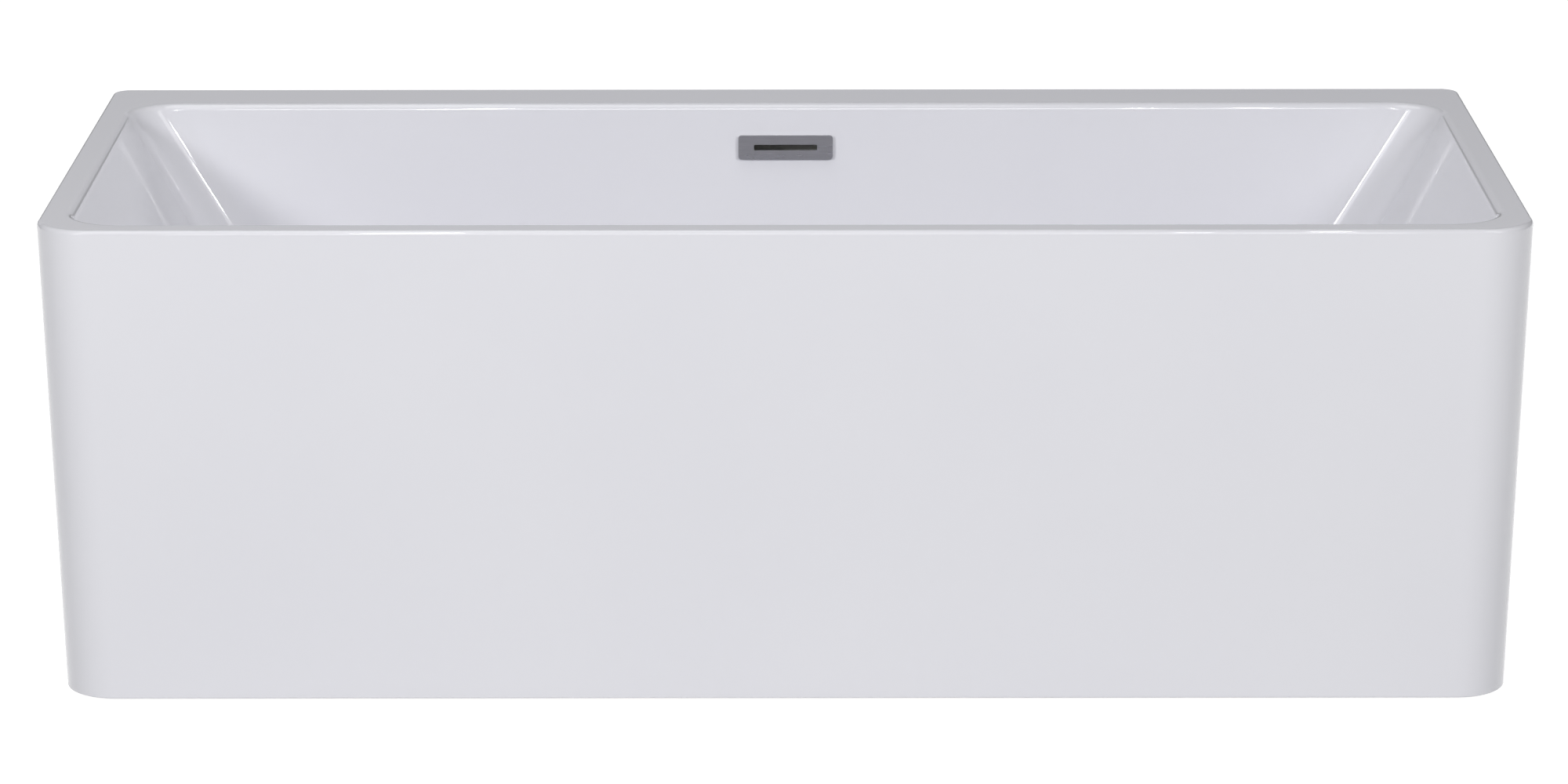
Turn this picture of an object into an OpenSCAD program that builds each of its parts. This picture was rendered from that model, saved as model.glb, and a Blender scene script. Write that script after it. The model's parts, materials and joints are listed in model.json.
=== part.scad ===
// Back-to-wall freestanding bathtub: a one-piece basin and rim in white acrylic over fibreglass,
// a three-sided skirt, a steel frame on levelling feet, and a slot overflow piped to a
// push-button waste. Origin: on the floor, under the middle of the bath.
// +X runs along the bath to the right, +Y points at the wall behind it, +Z is up.

/* [Overall] */
// Length of the rim, from end to end
bath_length = 1700; // [1400:10:2000]
// Width of the rim, from the front to the wall
bath_width = 750; // [680:10:900]
// Height of the rim above the floor
rim_height = 565; // [530:5:680]

/* [Rim] */
// Width of the flat rim along each end
end_rim = 28; // [22:1:50]
// Width of the flat rim along the front
front_rim = 26; // [22:1:50]
// Width of the flat ledge along the wall
rear_ledge = 80; // [75:1:130]
// Radius of the outer top edge
rim_edge_r = 6; // [6:0.5:8]
// Radius where the rim rolls over into the basin
rim_roll_r = 10; // [9:0.5:16]
// Depth of the turned-down lip, below the top of the rim
rim_lip = 16; // [12:1:30]
// Plan radius of the two front corners
front_corner_r = 62; // [30:1:70]
// Plan radius of the two corners at the wall
rear_corner_r = 22; // [16:1:30]

/* [Basin] */
// Depth of the basin, from the top of the rim to its floor
basin_depth = 430; // [340:5:450]
// Lean of the two end walls from vertical, in degrees
end_lean = 30; // [20:1:34]
// Lean of the front and rear walls from vertical, in degrees
side_lean = 6; // [3:0.5:10]
// Plan radius of the basin's corners at the rim
basin_top_r = 60; // [50:1:80]
// Plan radius of the basin's corners at the floor
basin_foot_r = 90; // [80:1:110]
// Radius where the walls roll into the floor
floor_roll_r = 60; // [45:1:65]
// Thickness of the acrylic sheet
acrylic_t = 5; // [4:0.5:5.5]
// Thickness of the fibreglass laid on the back of the acrylic
fibreglass_t = 3; // [2:0.5:4]

/* [Skirt] */
// Gap between the skirt and the floor
skirt_gap = 5; // [3:1:12]
// How far the skirt leans in at its foot on the front and the ends
skirt_lean_in = 12; // [0:1:20]
// Width of the skirt's return along the wall
wall_return = 60; // [35:1:90]
// Bevel along the skirt's lower edge
skirt_bevel = 2; // [1:0.5:3]

/* [Frame] */
// Thickness of the board under the basin's floor
board_t = 15; // [12:1:18]
// Margin of bare floor left around the board
board_margin = 12; // [8:1:30]
// Outer size of the square frame tube
tube_size = 30; // [25:1:30]
// Wall of the frame tube
tube_wall = 2; // [1.5:0.5:3]
// Outer size of the square posts that hold up the ledge
post_size = 25; // [20:1:25]
// Distance of the rails from the outside of the front and the ends
rail_setback = 60; // [58:1:75]
// Distance of the rear rail from the wall
rear_rail_setback = 50; // [45:1:52]
// Distance of the cross members from the middle
cross_member_x = 330; // [200:5:400]
// Distance of the two posts from the middle
post_x = 600; // [300:5:680]
// Height of the timber batten under the ledge
batten_t = 18; // [12:1:20]

/* [Feet] */
// Distance of the corner feet from the bath's ends
foot_inset = 130; // [115:5:200]
// Diameter of a foot pad
pad_d = 50; // [40:1:60]
// Height of a foot pad
pad_h = 14; // [13:1:18]
// Diameter of the levelling stud, an M10 thread
stud_d = 10; // [8:1:12]

/* [Overflow] */
// Width of the overflow cover
cover_w = 118; // [100:1:140]
// Height of the overflow cover
cover_h = 30; // [26:1:34]
// Depth of the overflow cover in front of the wall
cover_d = 6; // [5.5:0.5:9]
// Width of the slot in the cover
slot_w = 79; // [50:1:80]
// Height of the slot in the cover
slot_h = 7; // [4:0.5:8]
// Depth of the middle of the cover below the rim
cover_drop = 54; // [52:1:70]
// Outer diameter of the overflow pipe
pipe_d = 32; // [28:1:40]

/* [Waste] */
// Diameter of the waste flange
flange_d = 70; // [66:1:76]
// Outer diameter of the outlet, a G 1 1/2 thread
outlet_d = 47.8; // [40:0.1:47.8]
// Diameter of the plug
plug_d = 62; // [56:1:64]
// How far the plug lifts when it pops up
plug_lift = 8; // [5:1:8]

/* [Hidden] */

// Smoothness of round pieces, and steps around each corner and each roll of the lofted shells
$fn = 64;
corner_steps = 8;
roll_steps = 4;
foot_steps = 6;
edge_steps = 3;
ring_points = 4 * (corner_steps + 1);

// Far enough past a face for a cut to go right through it
past = 1;
// Running fit of a shaft in its bore, on the radius
run_fit = 0.05;
// Loose fit of a screw in its hole, on the radius
screw_fit = 0.1;
// Glue line between bonded layers
bond_fit = 0.01;
// Free space between pieces that only pass each other
clear = 1;

// Colours of the pieces
acrylic_white = [0.94, 0.94, 0.96];
resin_cream = [0.80, 0.78, 0.66];
ply_brown = [0.72, 0.58, 0.40];
zinc_grey = [0.66, 0.68, 0.70];
rubber_black = [0.12, 0.12, 0.13];
plastic_grey = [0.55, 0.56, 0.58];
plastic_white = [0.86, 0.86, 0.84];
chrome_grey = [0.56, 0.56, 0.58];
brass_yellow = [0.76, 0.62, 0.32];

// Heights, from the top down
half_length = bath_length / 2;
half_width = bath_width / 2;
shell_t = acrylic_t + fibreglass_t;
floor_z = rim_height - basin_depth;
board_top = floor_z - shell_t;
board_foot = board_top - board_t;
rail_foot = board_foot - tube_size;
batten_top = rim_height - shell_t;
batten_foot = batten_top - batten_t;
skirt_top = rim_height - rim_lip;

// ---------- Basin ----------

// The dish around the waste, in the middle of the basin's floor
dish_r = 75;
dish_seat_r = 50;
dish_depth = 4;
waste_y = (rear_wall_foot() + front_wall_foot()) / 2;
waste_hole_r = 26;

// How far a wall has come in at height z, from where the rim starts to roll over.
// The wall leans by lean degrees, and skin is the depth below the acrylic's face.
function roll_end(lean, skin) = rim_height - skin - (rim_roll_r - skin) * (1 - sin(lean));
function foot_start(lean, skin) = floor_z - skin + (floor_roll_r + skin) * (1 - sin(lean));
function wall_line(lean, skin, z) =
    (rim_roll_r - skin) * cos(lean) + tan(lean) * (roll_end(lean, skin) - z);
function roll_curve(skin, z) =
    sqrt(max(0, pow(rim_roll_r - skin, 2) - pow(z - rim_height + rim_roll_r, 2)));
function foot_curve(lean, skin, z) =
    wall_line(lean, skin, foot_start(lean, skin)) + (floor_roll_r + skin) * cos(lean)
    - sqrt(max(0, pow(floor_roll_r + skin, 2) - pow(floor_z + floor_roll_r - z, 2)));
function wall_inset(lean, skin, z) =
    z > roll_end(lean, skin) ? roll_curve(skin, z)
    : z > foot_start(lean, skin) ? wall_line(lean, skin, z)
    : foot_curve(lean, skin, z);
function front_wall_foot() = front_rim - half_width + wall_inset(side_lean, 0, floor_z);
function rear_wall_foot() = half_width - rear_ledge - wall_inset(side_lean, 0, floor_z);
function end_wall_foot() = half_length - end_rim - wall_inset(end_lean, 0, floor_z);

// A quarter of a circle, as corner_steps + 1 points from angle start
function corner(x, y, r, start, z) = [
    for (i = [0:corner_steps])
        let (a = start + 90 * i / corner_steps) [x + r * cos(a), y + r * sin(a), z]
];

// A level ring with round corners, anticlockwise from the left end of the front left corner
function ring(half_x, front_y, rear_y, front_r, rear_r, z) = concat(
    corner(front_r - half_x, front_y + front_r, front_r, 180, z),
    corner(half_x - front_r, front_y + front_r, front_r, 270, z),
    corner(half_x - rear_r, rear_y - rear_r, rear_r, 0, z),
    corner(rear_r - half_x, rear_y - rear_r, rear_r, 90, z)
);

// A level circle about the waste, with as many points as a ring has
function waste_circle(r, z) = [
    for (i = [0:ring_points - 1])
        let (a = 180 + 360 * (i + 0.5) / ring_points) [r * cos(a), waste_y + r * sin(a), z]
];

// The ring of the basin's wall at height z, skin below the acrylic's face
function basin_ring(skin, z) =
    let (
        end_in = end_rim + wall_inset(end_lean, skin, z),
        side_in = wall_inset(side_lean, skin, z),
        wall_r = basin_top_r + (basin_foot_r - basin_top_r) * (rim_height - z) / basin_depth,
        r = wall_r + skin - side_in + wall_line(side_lean, skin, z)
    )
    ring(half_length - end_in, front_rim + side_in - half_width,
         half_width - rear_ledge - side_in, r, r, z);

// Heights of the rings where the walls roll into the floor, and where the rim rolls over
function foot_levels(skin) = [
    for (i = [foot_steps:-1:0])
        let (a = side_lean + (90 - side_lean) * i / foot_steps)
        floor_z - skin + (floor_roll_r + skin) * (1 - sin(a))
];
function roll_levels(skin) = [
    for (i = [roll_steps:-1:0])
        let (a = (90 - side_lean) * i / roll_steps)
        rim_height - skin - (rim_roll_r - skin) * (1 - cos(a))
];

// All rings of the basin, from the waste outward and up to the rim
function basin_rings(skin) = concat(
    [waste_circle(dish_seat_r, floor_z - dish_depth - skin), waste_circle(dish_r, floor_z - skin)],
    [for (z = foot_levels(skin)) basin_ring(skin, z)],
    [for (z = roll_levels(skin)) basin_ring(skin, z)]
);
function reversed(list) = [for (i = [len(list) - 1:-1:0]) list[i]];

// The outline of the rim, set in from the outside of the bath
function rim_ring(inset, z) =
    ring(half_length - inset, inset - half_width, half_width - inset,
         front_corner_r - inset, rear_corner_r - inset, z);

// The rounded outer edge of the rim, from its flat top down to the skirt
function rim_edge() = concat(
    [
        for (i = [0:edge_steps])
            let (a = 90 * i / edge_steps)
            rim_ring(rim_edge_r * (1 - sin(a)), rim_height - rim_edge_r * (1 - cos(a)))
    ],
    [lip_ring(0, skirt_top), lip_ring(acrylic_t, skirt_top)],
    [
        rim_ring(acrylic_t, rim_height - rim_edge_r),
        rim_ring(rim_edge_r, rim_height - acrylic_t)
    ]
);
function lean_in(z) =
    skirt_lean_in * (rim_height - rim_edge_r - z) / (rim_height - rim_edge_r - skirt_gap);
function lip_ring(inset, z) =
    ring(half_length - inset - lean_in(z), inset + lean_in(z) - half_width, half_width - inset,
         front_corner_r - inset, rear_corner_r - inset, z);

// A closed solid through level rings: the first one is its top, and after ring number turn
// the rings run inward again, so that the two faces of a shell split the same way
module loft(rings, turn) {
    last = len(rings) - 1;
    steps = [
        for (k = [0:last - 1], i = [0:ring_points - 1])
            let (
                j = (i + 1) % ring_points,
                a = k * ring_points + i,
                b = k * ring_points + j,
                c = a + ring_points,
                d = b + ring_points
            )
            k < turn ? [[a, b, d], [a, d, c]] : [[a, b, c], [b, d, c]]
    ];
    top_cap = [for (i = [ring_points - 1:-1:0]) i];
    foot_cap = [for (i = [0:ring_points - 1]) last * ring_points + i];
    polyhedron(
        points = [for (r = rings) each r],
        faces = concat([top_cap, foot_cap], [for (s = steps) each s])
    );
}

// ---------- Places ----------

module at_waste() {
    translate([0, waste_y, 0]) children();
}

// The overflow's own frame: at the middle of the cover on the rear wall's face, with +Y out
// through the wall and +Z up along it
cover_z = rim_height - cover_drop;
cover_y = half_width - rear_ledge - wall_inset(side_lean, 0, cover_z);
module at_overflow() {
    translate([0, cover_y, cover_z]) rotate([-side_lean, 0, 0]) children();
}

// The overflow pipe behind the wall. bend_drop is the depth of its bend's upper end below the
// middle of the cover, along the wall, and pipe_back_y is the rearmost that the bend reaches.
seal_t = 2;
body_near = shell_t + seal_t;
body_flange_t = 5;
pipe_r = pipe_d / 2;
port_wall = 3;
port_r = pipe_r + port_wall;
pipe_y = body_near + body_flange_t + clear + port_r;
pipe_bend_r = 60;
pipe_z = 70;
bend_drop = (cover_z - pipe_z - pipe_bend_r * (1 - sin(side_lean)) - pipe_y * sin(side_lean))
    / cos(side_lean);
pipe_back_y = cover_y + (pipe_y + pipe_r) * cos(side_lean) - bend_drop * sin(side_lean);

// The corner and middle feet. The rear rail stands its setback from the wall, and nearer to the
// wall where the pipe in front of it needs the room.
foot_x = half_length - foot_inset;
front_foot_y = rail_setback + tube_size / 2 - half_width;
rear_foot_y = max(half_width - rear_rail_setback, pipe_back_y + clear + tube_size) - tube_size / 2;
FOOT_PLACES = [
    [-foot_x, front_foot_y], [0, front_foot_y], [foot_x, front_foot_y],
    [-foot_x, rear_foot_y], [foot_x, rear_foot_y]
];

// ---------- Small shapes ----------

// A plate in the overflow's frame, from depth near to depth far, with round corners
module cover_plate(w, h, r, near, far) {
    translate([0, near, 0]) rotate([-90, 0, 0]) linear_extrude(far - near) {
        square([w, h - 2 * r], center = true);
        square([w - 2 * r, h], center = true);
        for (x = [-1, 1], y = [-1, 1]) translate([x * (w / 2 - r), y * (h / 2 - r)]) circle(r);
    }
}

module tube(outer_r, inner_r, z0, z1) {
    translate([0, 0, z0]) difference() {
        cylinder(r = outer_r, h = z1 - z0);
        translate([0, 0, -past]) cylinder(r = inner_r, h = z1 - z0 + 2 * past);
    }
}

// A square steel tube along X, its middle at the origin
module square_tube(length, size, wall) {
    difference() {
        cube([length, size, size], center = true);
        cube([length + 2 * past, size - 2 * wall, size - 2 * wall], center = true);
    }
}

module hexagon(across_flats, h) {
    cylinder(d = across_flats / cos(30), h = h, $fn = 6);
}

// ---------- Tub ----------

// What both layers of the tub are cut with: the waste hole, and the overflow's opening and
// its two screw holes
opening_w = 84;
opening_h = 14;
opening_r = 4;
mount_screw_x = 49;
mount_screw_r = 2.5;
module tub_cuts() {
    at_waste() cylinder(r = waste_hole_r, h = floor_z);
    at_overflow() {
        cover_plate(opening_w, opening_h, opening_r, -rim_roll_r, 2 * shell_t);
        mount_screw_shanks(screw_fit);
    }
}

module mount_screw_shanks(fit) {
    for (x = [-1, 1]) translate([x * mount_screw_x, -mount_t, 0]) rotate([-90, 0, 0])
        cylinder(r = mount_screw_r + fit, h = mount_screw_l);
}

module inner_tub() {
    face = basin_rings(0);
    color(acrylic_white) difference() {
        loft(concat(face, rim_edge(), reversed(basin_rings(acrylic_t))), len(face) + edge_steps);
        tub_cuts();
    }
}

// The fibreglass stops short of the skirt's own fibreglass, under the rim
backing_gap = 4;
backing_edge = shell_t + backing_gap;
backing_skin = acrylic_t + bond_fit;
module tub_backing() {
    face = basin_rings(backing_skin);
    edge = [
        rim_ring(backing_edge, rim_height - backing_skin),
        rim_ring(backing_edge, rim_height - shell_t)
    ];
    color(resin_cream) difference() {
        loft(concat(face, edge, reversed(basin_rings(shell_t))), len(face));
        tub_cuts();
    }
}

// ---------- Skirt ----------

// Half of the skirt's section at height z: its path from one wall return round to the other
function skirt_path(inset, z) =
    let (
        half_x = half_length - inset - lean_in(z),
        side = ring(half_x, inset + lean_in(z) - half_width, half_width - inset,
                    front_corner_r - inset, rear_corner_r - inset, z),
        return_x = half_length - lean_in(z) - wall_return,
        rear_left = 3 * (corner_steps + 1)
    )
    concat(
        [[-return_x, half_width - inset, z]],
        [for (i = [0:ring_points - 1]) side[(rear_left + i) % ring_points]],
        [[return_x, half_width - inset, z]]
    );

// A wall that follows the skirt's path between two insets, through the levels given from the
// top down. Each level is [height, outer inset, inner inset].
module skirt_wall(levels) {
    path_points = ring_points + 2;
    section_points = 2 * path_points;
    last = len(levels) - 1;
    sections = [
        for (l = levels) each concat(skirt_path(l[1], l[0]), reversed(skirt_path(l[2], l[0])))
    ];
    sides = [
        for (k = [0:last - 1], i = [0:section_points - 1])
            let (j = (i + 1) % section_points, a = k * section_points, b = a + section_points)
            [a + i, a + j, b + j, b + i]
    ];
    top = [
        for (i = [0:path_points - 2])
            [i + 1, i, section_points - 1 - i, section_points - 2 - i]
    ];
    foot = [for (f = top) [for (i = [3:-1:0]) f[i] + last * section_points]];
    polyhedron(points = sections, faces = concat(sides, top, foot));
}

module outer_skirt() {
    color(acrylic_white) skirt_wall([
        [skirt_top, 0, acrylic_t],
        [skirt_gap + skirt_bevel, 0, acrylic_t],
        [skirt_gap, skirt_bevel, acrylic_t]
    ]);
}

skirt_backing_foot = 20;
module skirt_backing() {
    color(resin_cream) skirt_wall([
        [rim_height - rim_edge_r - clear, backing_skin, shell_t],
        [skirt_gap + skirt_backing_foot, backing_skin, shell_t]
    ]);
}

// ---------- Board, batten and frame ----------

board_corner_r = 25;
board_hole_margin = 10;
board_hole_r = dish_r + board_hole_margin;
board_half_x = end_wall_foot() - board_margin;
board_front = front_wall_foot() + board_margin;
board_rear = rear_wall_foot() - board_margin;
screw_r = 2.5;
screw_head_r = 5;
screw_head_h = 2.5;
board_screw_bite = 10;
board_screw_l = tube_wall + board_screw_bite;
board_screw_inset = 40;
BOARD_SCREW_Y = [
    board_front + board_screw_inset,
    (board_front + board_rear) / 2,
    board_rear - board_screw_inset
];

module board_screw_places() {
    for (x = [-1, 1], y = BOARD_SCREW_Y) translate([x * cross_member_x, y, 0]) children();
}

module base_board() {
    w = 2 * board_half_x;
    h = board_rear - board_front;
    r = board_corner_r;
    color(ply_brown) difference() {
        translate([0, (board_front + board_rear) / 2, board_foot]) linear_extrude(board_t) {
            square([w, h - 2 * r], center = true);
            square([w - 2 * r, h], center = true);
            for (x = [-1, 1], y = [-1, 1]) translate([x * (w / 2 - r), y * (h / 2 - r)])
                circle(r);
        }
        at_waste() translate([0, 0, board_foot - past])
            cylinder(r = board_hole_r, h = board_t + 2 * past);
        board_screw_places() translate([0, 0, board_foot - tube_wall])
            cylinder(r = screw_r + screw_fit, h = board_screw_l + clear);
    }
}

batten_rear_gap = 12;
batten_front_gap = 6;
module rear_rim_batten() {
    batten_w = rear_ledge - batten_rear_gap - batten_front_gap;
    batten_l = bath_length - 2 * wall_return;
    color(ply_brown)
        translate([-batten_l / 2, half_width - batten_rear_gap - batten_w, batten_foot])
        cube([batten_l, batten_w, batten_t]);
}

rail_x = half_length - rail_setback;
rail_z = rail_foot + tube_size / 2;
rail_inner_front = front_foot_y + tube_size / 2;
rail_inner_rear = rear_foot_y - tube_size / 2;
stud_hole_gap = 0.5;
stud_hole_r = stud_d / 2 + stud_hole_gap;
cap_plate_t = 3;
cap_plug_l = 12;

// A rail along X with its holes for the levelling studs
module long_rail(y) {
    difference() {
        translate([0, y, rail_z]) square_tube(2 * rail_x, tube_size, tube_wall);
        for (p = FOOT_PLACES) translate([p[0], p[1], rail_foot - past])
            cylinder(r = stud_hole_r, h = tube_size + 2 * past);
        bracket_places() rail_screw_hole();
    }
}

// A rail along Y between the two long rails
module end_rail(x) {
    difference() {
        translate([x, (rail_inner_front + rail_inner_rear) / 2, rail_z]) rotate([0, 0, 90])
            square_tube(rail_inner_rear - rail_inner_front, tube_size, tube_wall);
        bracket_places() rail_screw_hole();
    }
}

// An inverted channel along Y between the two long rails, its web under the board
module cross_member(x) {
    channel_l = rail_inner_rear - rail_inner_front;
    difference() {
        translate([x - tube_size / 2, rail_inner_front, rail_foot])
            cube([tube_size, channel_l, tube_size]);
        translate([x - tube_size / 2 + tube_wall, rail_inner_front - past, rail_foot - past])
            cube([tube_size - 2 * tube_wall, channel_l + 2 * past, tube_size - tube_wall + past]);
        board_screw_places() translate([0, 0, board_foot - tube_wall - past])
            cylinder(r = screw_r + screw_fit, h = tube_wall + 2 * past);
    }
}

module front_rail() {
    color(zinc_grey) long_rail(front_foot_y);
}
module rear_rail() {
    color(zinc_grey) long_rail(rear_foot_y);
}
module left_rail() {
    color(zinc_grey) end_rail(tube_size / 2 - rail_x);
}
module right_rail() {
    color(zinc_grey) end_rail(rail_x - tube_size / 2);
}
module left_cross_member() {
    color(zinc_grey) cross_member(-cross_member_x);
}
module right_cross_member() {
    color(zinc_grey) cross_member(cross_member_x);
}

// A post from the rear rail up to the batten
module post(x) {
    post_l = batten_foot - board_foot;
    color(zinc_grey) translate([x, rear_foot_y, board_foot + post_l / 2]) rotate([0, 90, 0])
        square_tube(post_l, post_size, tube_wall);
}
module rear_left_post() {
    post(-post_x);
}
module rear_right_post() {
    post(post_x);
}

module rail_end_caps() {
    bore = tube_size - 2 * tube_wall;
    color(rubber_black) for (side = [-1, 1], y = [front_foot_y, rear_foot_y]) {
        translate([side * (rail_x + cap_plate_t / 2), y, rail_z])
            cube([cap_plate_t, tube_size, tube_size], center = true);
        translate([side * (rail_x - cap_plug_l / 2), y, rail_z])
            cube([cap_plug_l, bore, bore], center = true);
    }
}

module board_screws() {
    color(zinc_grey) board_screw_places() translate([0, 0, board_foot - tube_wall]) {
        translate([0, 0, -screw_head_h]) cylinder(r = screw_head_r, h = screw_head_h);
        cylinder(r = screw_r, h = board_screw_l);
    }
}

// ---------- Skirt fixings ----------

// Places along the inside of the skirt, with +Y pointing in from the skirt's outside:
// four along the front and one at each end
FRONT_BRACKET_X = [170, 510];
module bracket_places() {
    for (x = FRONT_BRACKET_X, side = [-1, 1]) translate([side * x, -half_width, 0]) children();
    for (side = [-1, 1]) rotate([0, 0, 90 * side]) translate([0, -half_length, 0]) children();
}

block_w = 60;
block_foot = 30;
block_top = 100;
block_depth = 25;
block_near = shell_t + bond_fit;
block_back = shell_t + skirt_lean_in + block_depth;
bracket_t = 3;
bracket_w = 40;
bracket_foot = 35;
bracket_short = 5;
bracket_reach = rail_setback + tube_size - bracket_short;
bracket_screw_l = 18;
bracket_screw_z = [45, 65];
rail_screw_y = rail_setback + tube_size / 2;
rail_screw_bite = 10;
rail_screw_l = bracket_t + rail_screw_bite;

// A timber block bonded to the fibreglass, its outer face along the skirt's lean
module skirt_blocks() {
    color(ply_brown) bracket_places() difference() {
        rotate([90, 0, 90]) translate([0, 0, -block_w / 2]) linear_extrude(block_w) polygon([
            [block_near + lean_in(block_foot), block_foot],
            [block_back, block_foot],
            [block_back, block_top],
            [block_near + lean_in(block_top), block_top]
        ]);
        for (z = bracket_screw_z) block_screw_hole(z);
    }
}

module block_screw_hole(z) {
    translate([0, block_back + bracket_t + past, z]) rotate([90, 0, 0])
        cylinder(r = screw_r + screw_fit, h = bracket_screw_l + past + clear);
}
module rail_screw_hole() {
    translate([0, rail_screw_y, board_foot + bracket_t + past]) rotate([180, 0, 0])
        cylinder(r = screw_r + screw_fit, h = bracket_t + tube_wall + 2 * past);
}

// An angle screwed to the back of each block and to the top of the rail
module skirt_brackets() {
    bracket_top = board_foot + bracket_t;
    color(zinc_grey) bracket_places() difference() {
        union() {
            translate([-bracket_w / 2, block_back, bracket_foot])
                cube([bracket_w, bracket_t, bracket_top - bracket_foot]);
            translate([-bracket_w / 2, block_back, board_foot])
                cube([bracket_w, bracket_reach - block_back, bracket_t]);
        }
        for (z = bracket_screw_z) block_screw_hole(z);
        rail_screw_hole();
    }
}

module skirt_bracket_screws() {
    color(zinc_grey) bracket_places() {
        for (z = bracket_screw_z) translate([0, block_back + bracket_t, z]) rotate([90, 0, 0]) {
            translate([0, 0, -screw_head_h]) cylinder(r = screw_head_r, h = screw_head_h);
            cylinder(r = screw_r, h = bracket_screw_l);
        }
        translate([0, rail_screw_y, board_foot + bracket_t]) {
            cylinder(r = screw_head_r, h = screw_head_h);
            translate([0, 0, -rail_screw_l]) cylinder(r = screw_r, h = rail_screw_l);
        }
    }
}

// ---------- Levelling feet ----------

weld_nut_h = 8;
locknut_h = 6;
nut_flats = 17;
stud_r = stud_d / 2;
stud_rise = 14;
stud_top = board_foot + stud_rise;
stud_foot_r = 8;
stud_foot_z = 5;
stud_foot_h = 4;
spanner_flats = 14;
spanner_z = pad_h + clear;
spanner_h = 7;
pad_top_r = 15;
pad_rim_h = 5;

module foot_nuts(h, z) {
    for (p = FOOT_PLACES) translate([p[0], p[1], z]) difference() {
        hexagon(nut_flats, h);
        translate([0, 0, -past]) cylinder(r = stud_r + run_fit, h = h + 2 * past);
    }
}
module foot_weld_nuts() {
    color(zinc_grey) foot_nuts(weld_nut_h, rail_foot - weld_nut_h);
}
module foot_locknuts() {
    color(zinc_grey) foot_nuts(locknut_h, rail_foot - weld_nut_h - locknut_h);
}

// A round pad with a socket that holds the flanged end of the stud
module foot_pad(place) {
    color(rubber_black) translate([FOOT_PLACES[place][0], FOOT_PLACES[place][1], 0])
        rotate_extrude() polygon([
            [0, 0],
            [pad_d / 2, 0],
            [pad_d / 2, pad_rim_h],
            [pad_top_r, pad_h],
            [stud_r + run_fit, pad_h],
            [stud_r + run_fit, stud_foot_z + stud_foot_h],
            [stud_foot_r + run_fit, stud_foot_z + stud_foot_h],
            [stud_foot_r + run_fit, stud_foot_z],
            [0, stud_foot_z]
        ]);
}

// A threaded stud with a flanged end and a hexagon for a spanner
module foot_stud(place) {
    color(zinc_grey) translate([FOOT_PLACES[place][0], FOOT_PLACES[place][1], 0]) {
        translate([0, 0, stud_foot_z]) cylinder(r = stud_r, h = stud_top - stud_foot_z);
        translate([0, 0, stud_foot_z]) cylinder(r = stud_foot_r, h = stud_foot_h);
        translate([0, 0, spanner_z]) hexagon(spanner_flats, spanner_h);
    }
}

module front_left_foot_pad() {
    foot_pad(0);
}
module front_left_foot_stud() {
    foot_stud(0);
}
module front_middle_foot_pad() {
    foot_pad(1);
}
module front_middle_foot_stud() {
    foot_stud(1);
}
module front_right_foot_pad() {
    foot_pad(2);
}
module front_right_foot_stud() {
    foot_stud(2);
}
module rear_left_foot_pad() {
    foot_pad(3);
}
module rear_left_foot_stud() {
    foot_stud(3);
}
module rear_right_foot_pad() {
    foot_pad(4);
}
module rear_right_foot_stud() {
    foot_stud(4);
}

// ---------- Overflow ----------

cover_corner_r = 4;
cover_wall = 2;
slot_corner_r = 1.5;
mount_t = 2.5;
mount_w = cover_w - 2 * cover_wall;
mount_h = cover_h - 2 * cover_wall;
mount_screw_bite = 6;
mount_screw_l = mount_t + shell_t + mount_screw_bite;
mount_head_r = 4;
mount_head_h = 1.2;
seal_w = 110;
seal_h = 30;
seal_corner_r = 6;
chamber_w = 96;
chamber_h = 28;
chamber_wall = 2.5;
chamber_corner_r = 5;
pipe_wall = 2.5;
pipe_bore_r = pipe_r - pipe_wall;
socket_r = pipe_r + run_fit;
port_l = 22;
chamber_far = pipe_y + port_r + clear;
port_z = chamber_h / 2 + port_l;
nut_wall = 4;
nut_l = 18;
nut_past = 3;
nut_ribs = 12;
nut_rib_w = 4;
nut_rib_h = 1;

// The snap-on cover: a shallow tray with its open side on the wall, and the slot in its face
module overflow_cover() {
    color(chrome_grey) at_overflow() difference() {
        cover_plate(cover_w, cover_h, cover_corner_r, -cover_d, 0);
        cover_plate(mount_w, mount_h, cover_corner_r - cover_wall, cover_wall - cover_d, past);
        cover_plate(slot_w, slot_h, slot_corner_r, -cover_d - past, 0);
    }
}

// The plate under the cover, screwed through the wall to the body behind it
module overflow_mount() {
    color(plastic_grey) at_overflow() difference() {
        cover_plate(mount_w, mount_h, cover_corner_r - cover_wall, -mount_t, 0);
        cover_plate(opening_w, opening_h, opening_r, -mount_t - past, past);
        translate([0, -past, 0]) mount_screw_shanks(screw_fit);
    }
}

module overflow_screws() {
    color(zinc_grey) at_overflow() {
        mount_screw_shanks(0);
        for (x = [-1, 1]) translate([x * mount_screw_x, -mount_t, 0]) rotate([90, 0, 0])
            cylinder(r = mount_head_r, h = mount_head_h);
    }
}

module overflow_seal() {
    color(rubber_black) at_overflow() difference() {
        cover_plate(seal_w, seal_h, seal_corner_r, shell_t, body_near);
        cover_plate(opening_w, opening_h, opening_r, shell_t - past, body_near + past);
        mount_screw_shanks(screw_fit);
    }
}

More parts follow.
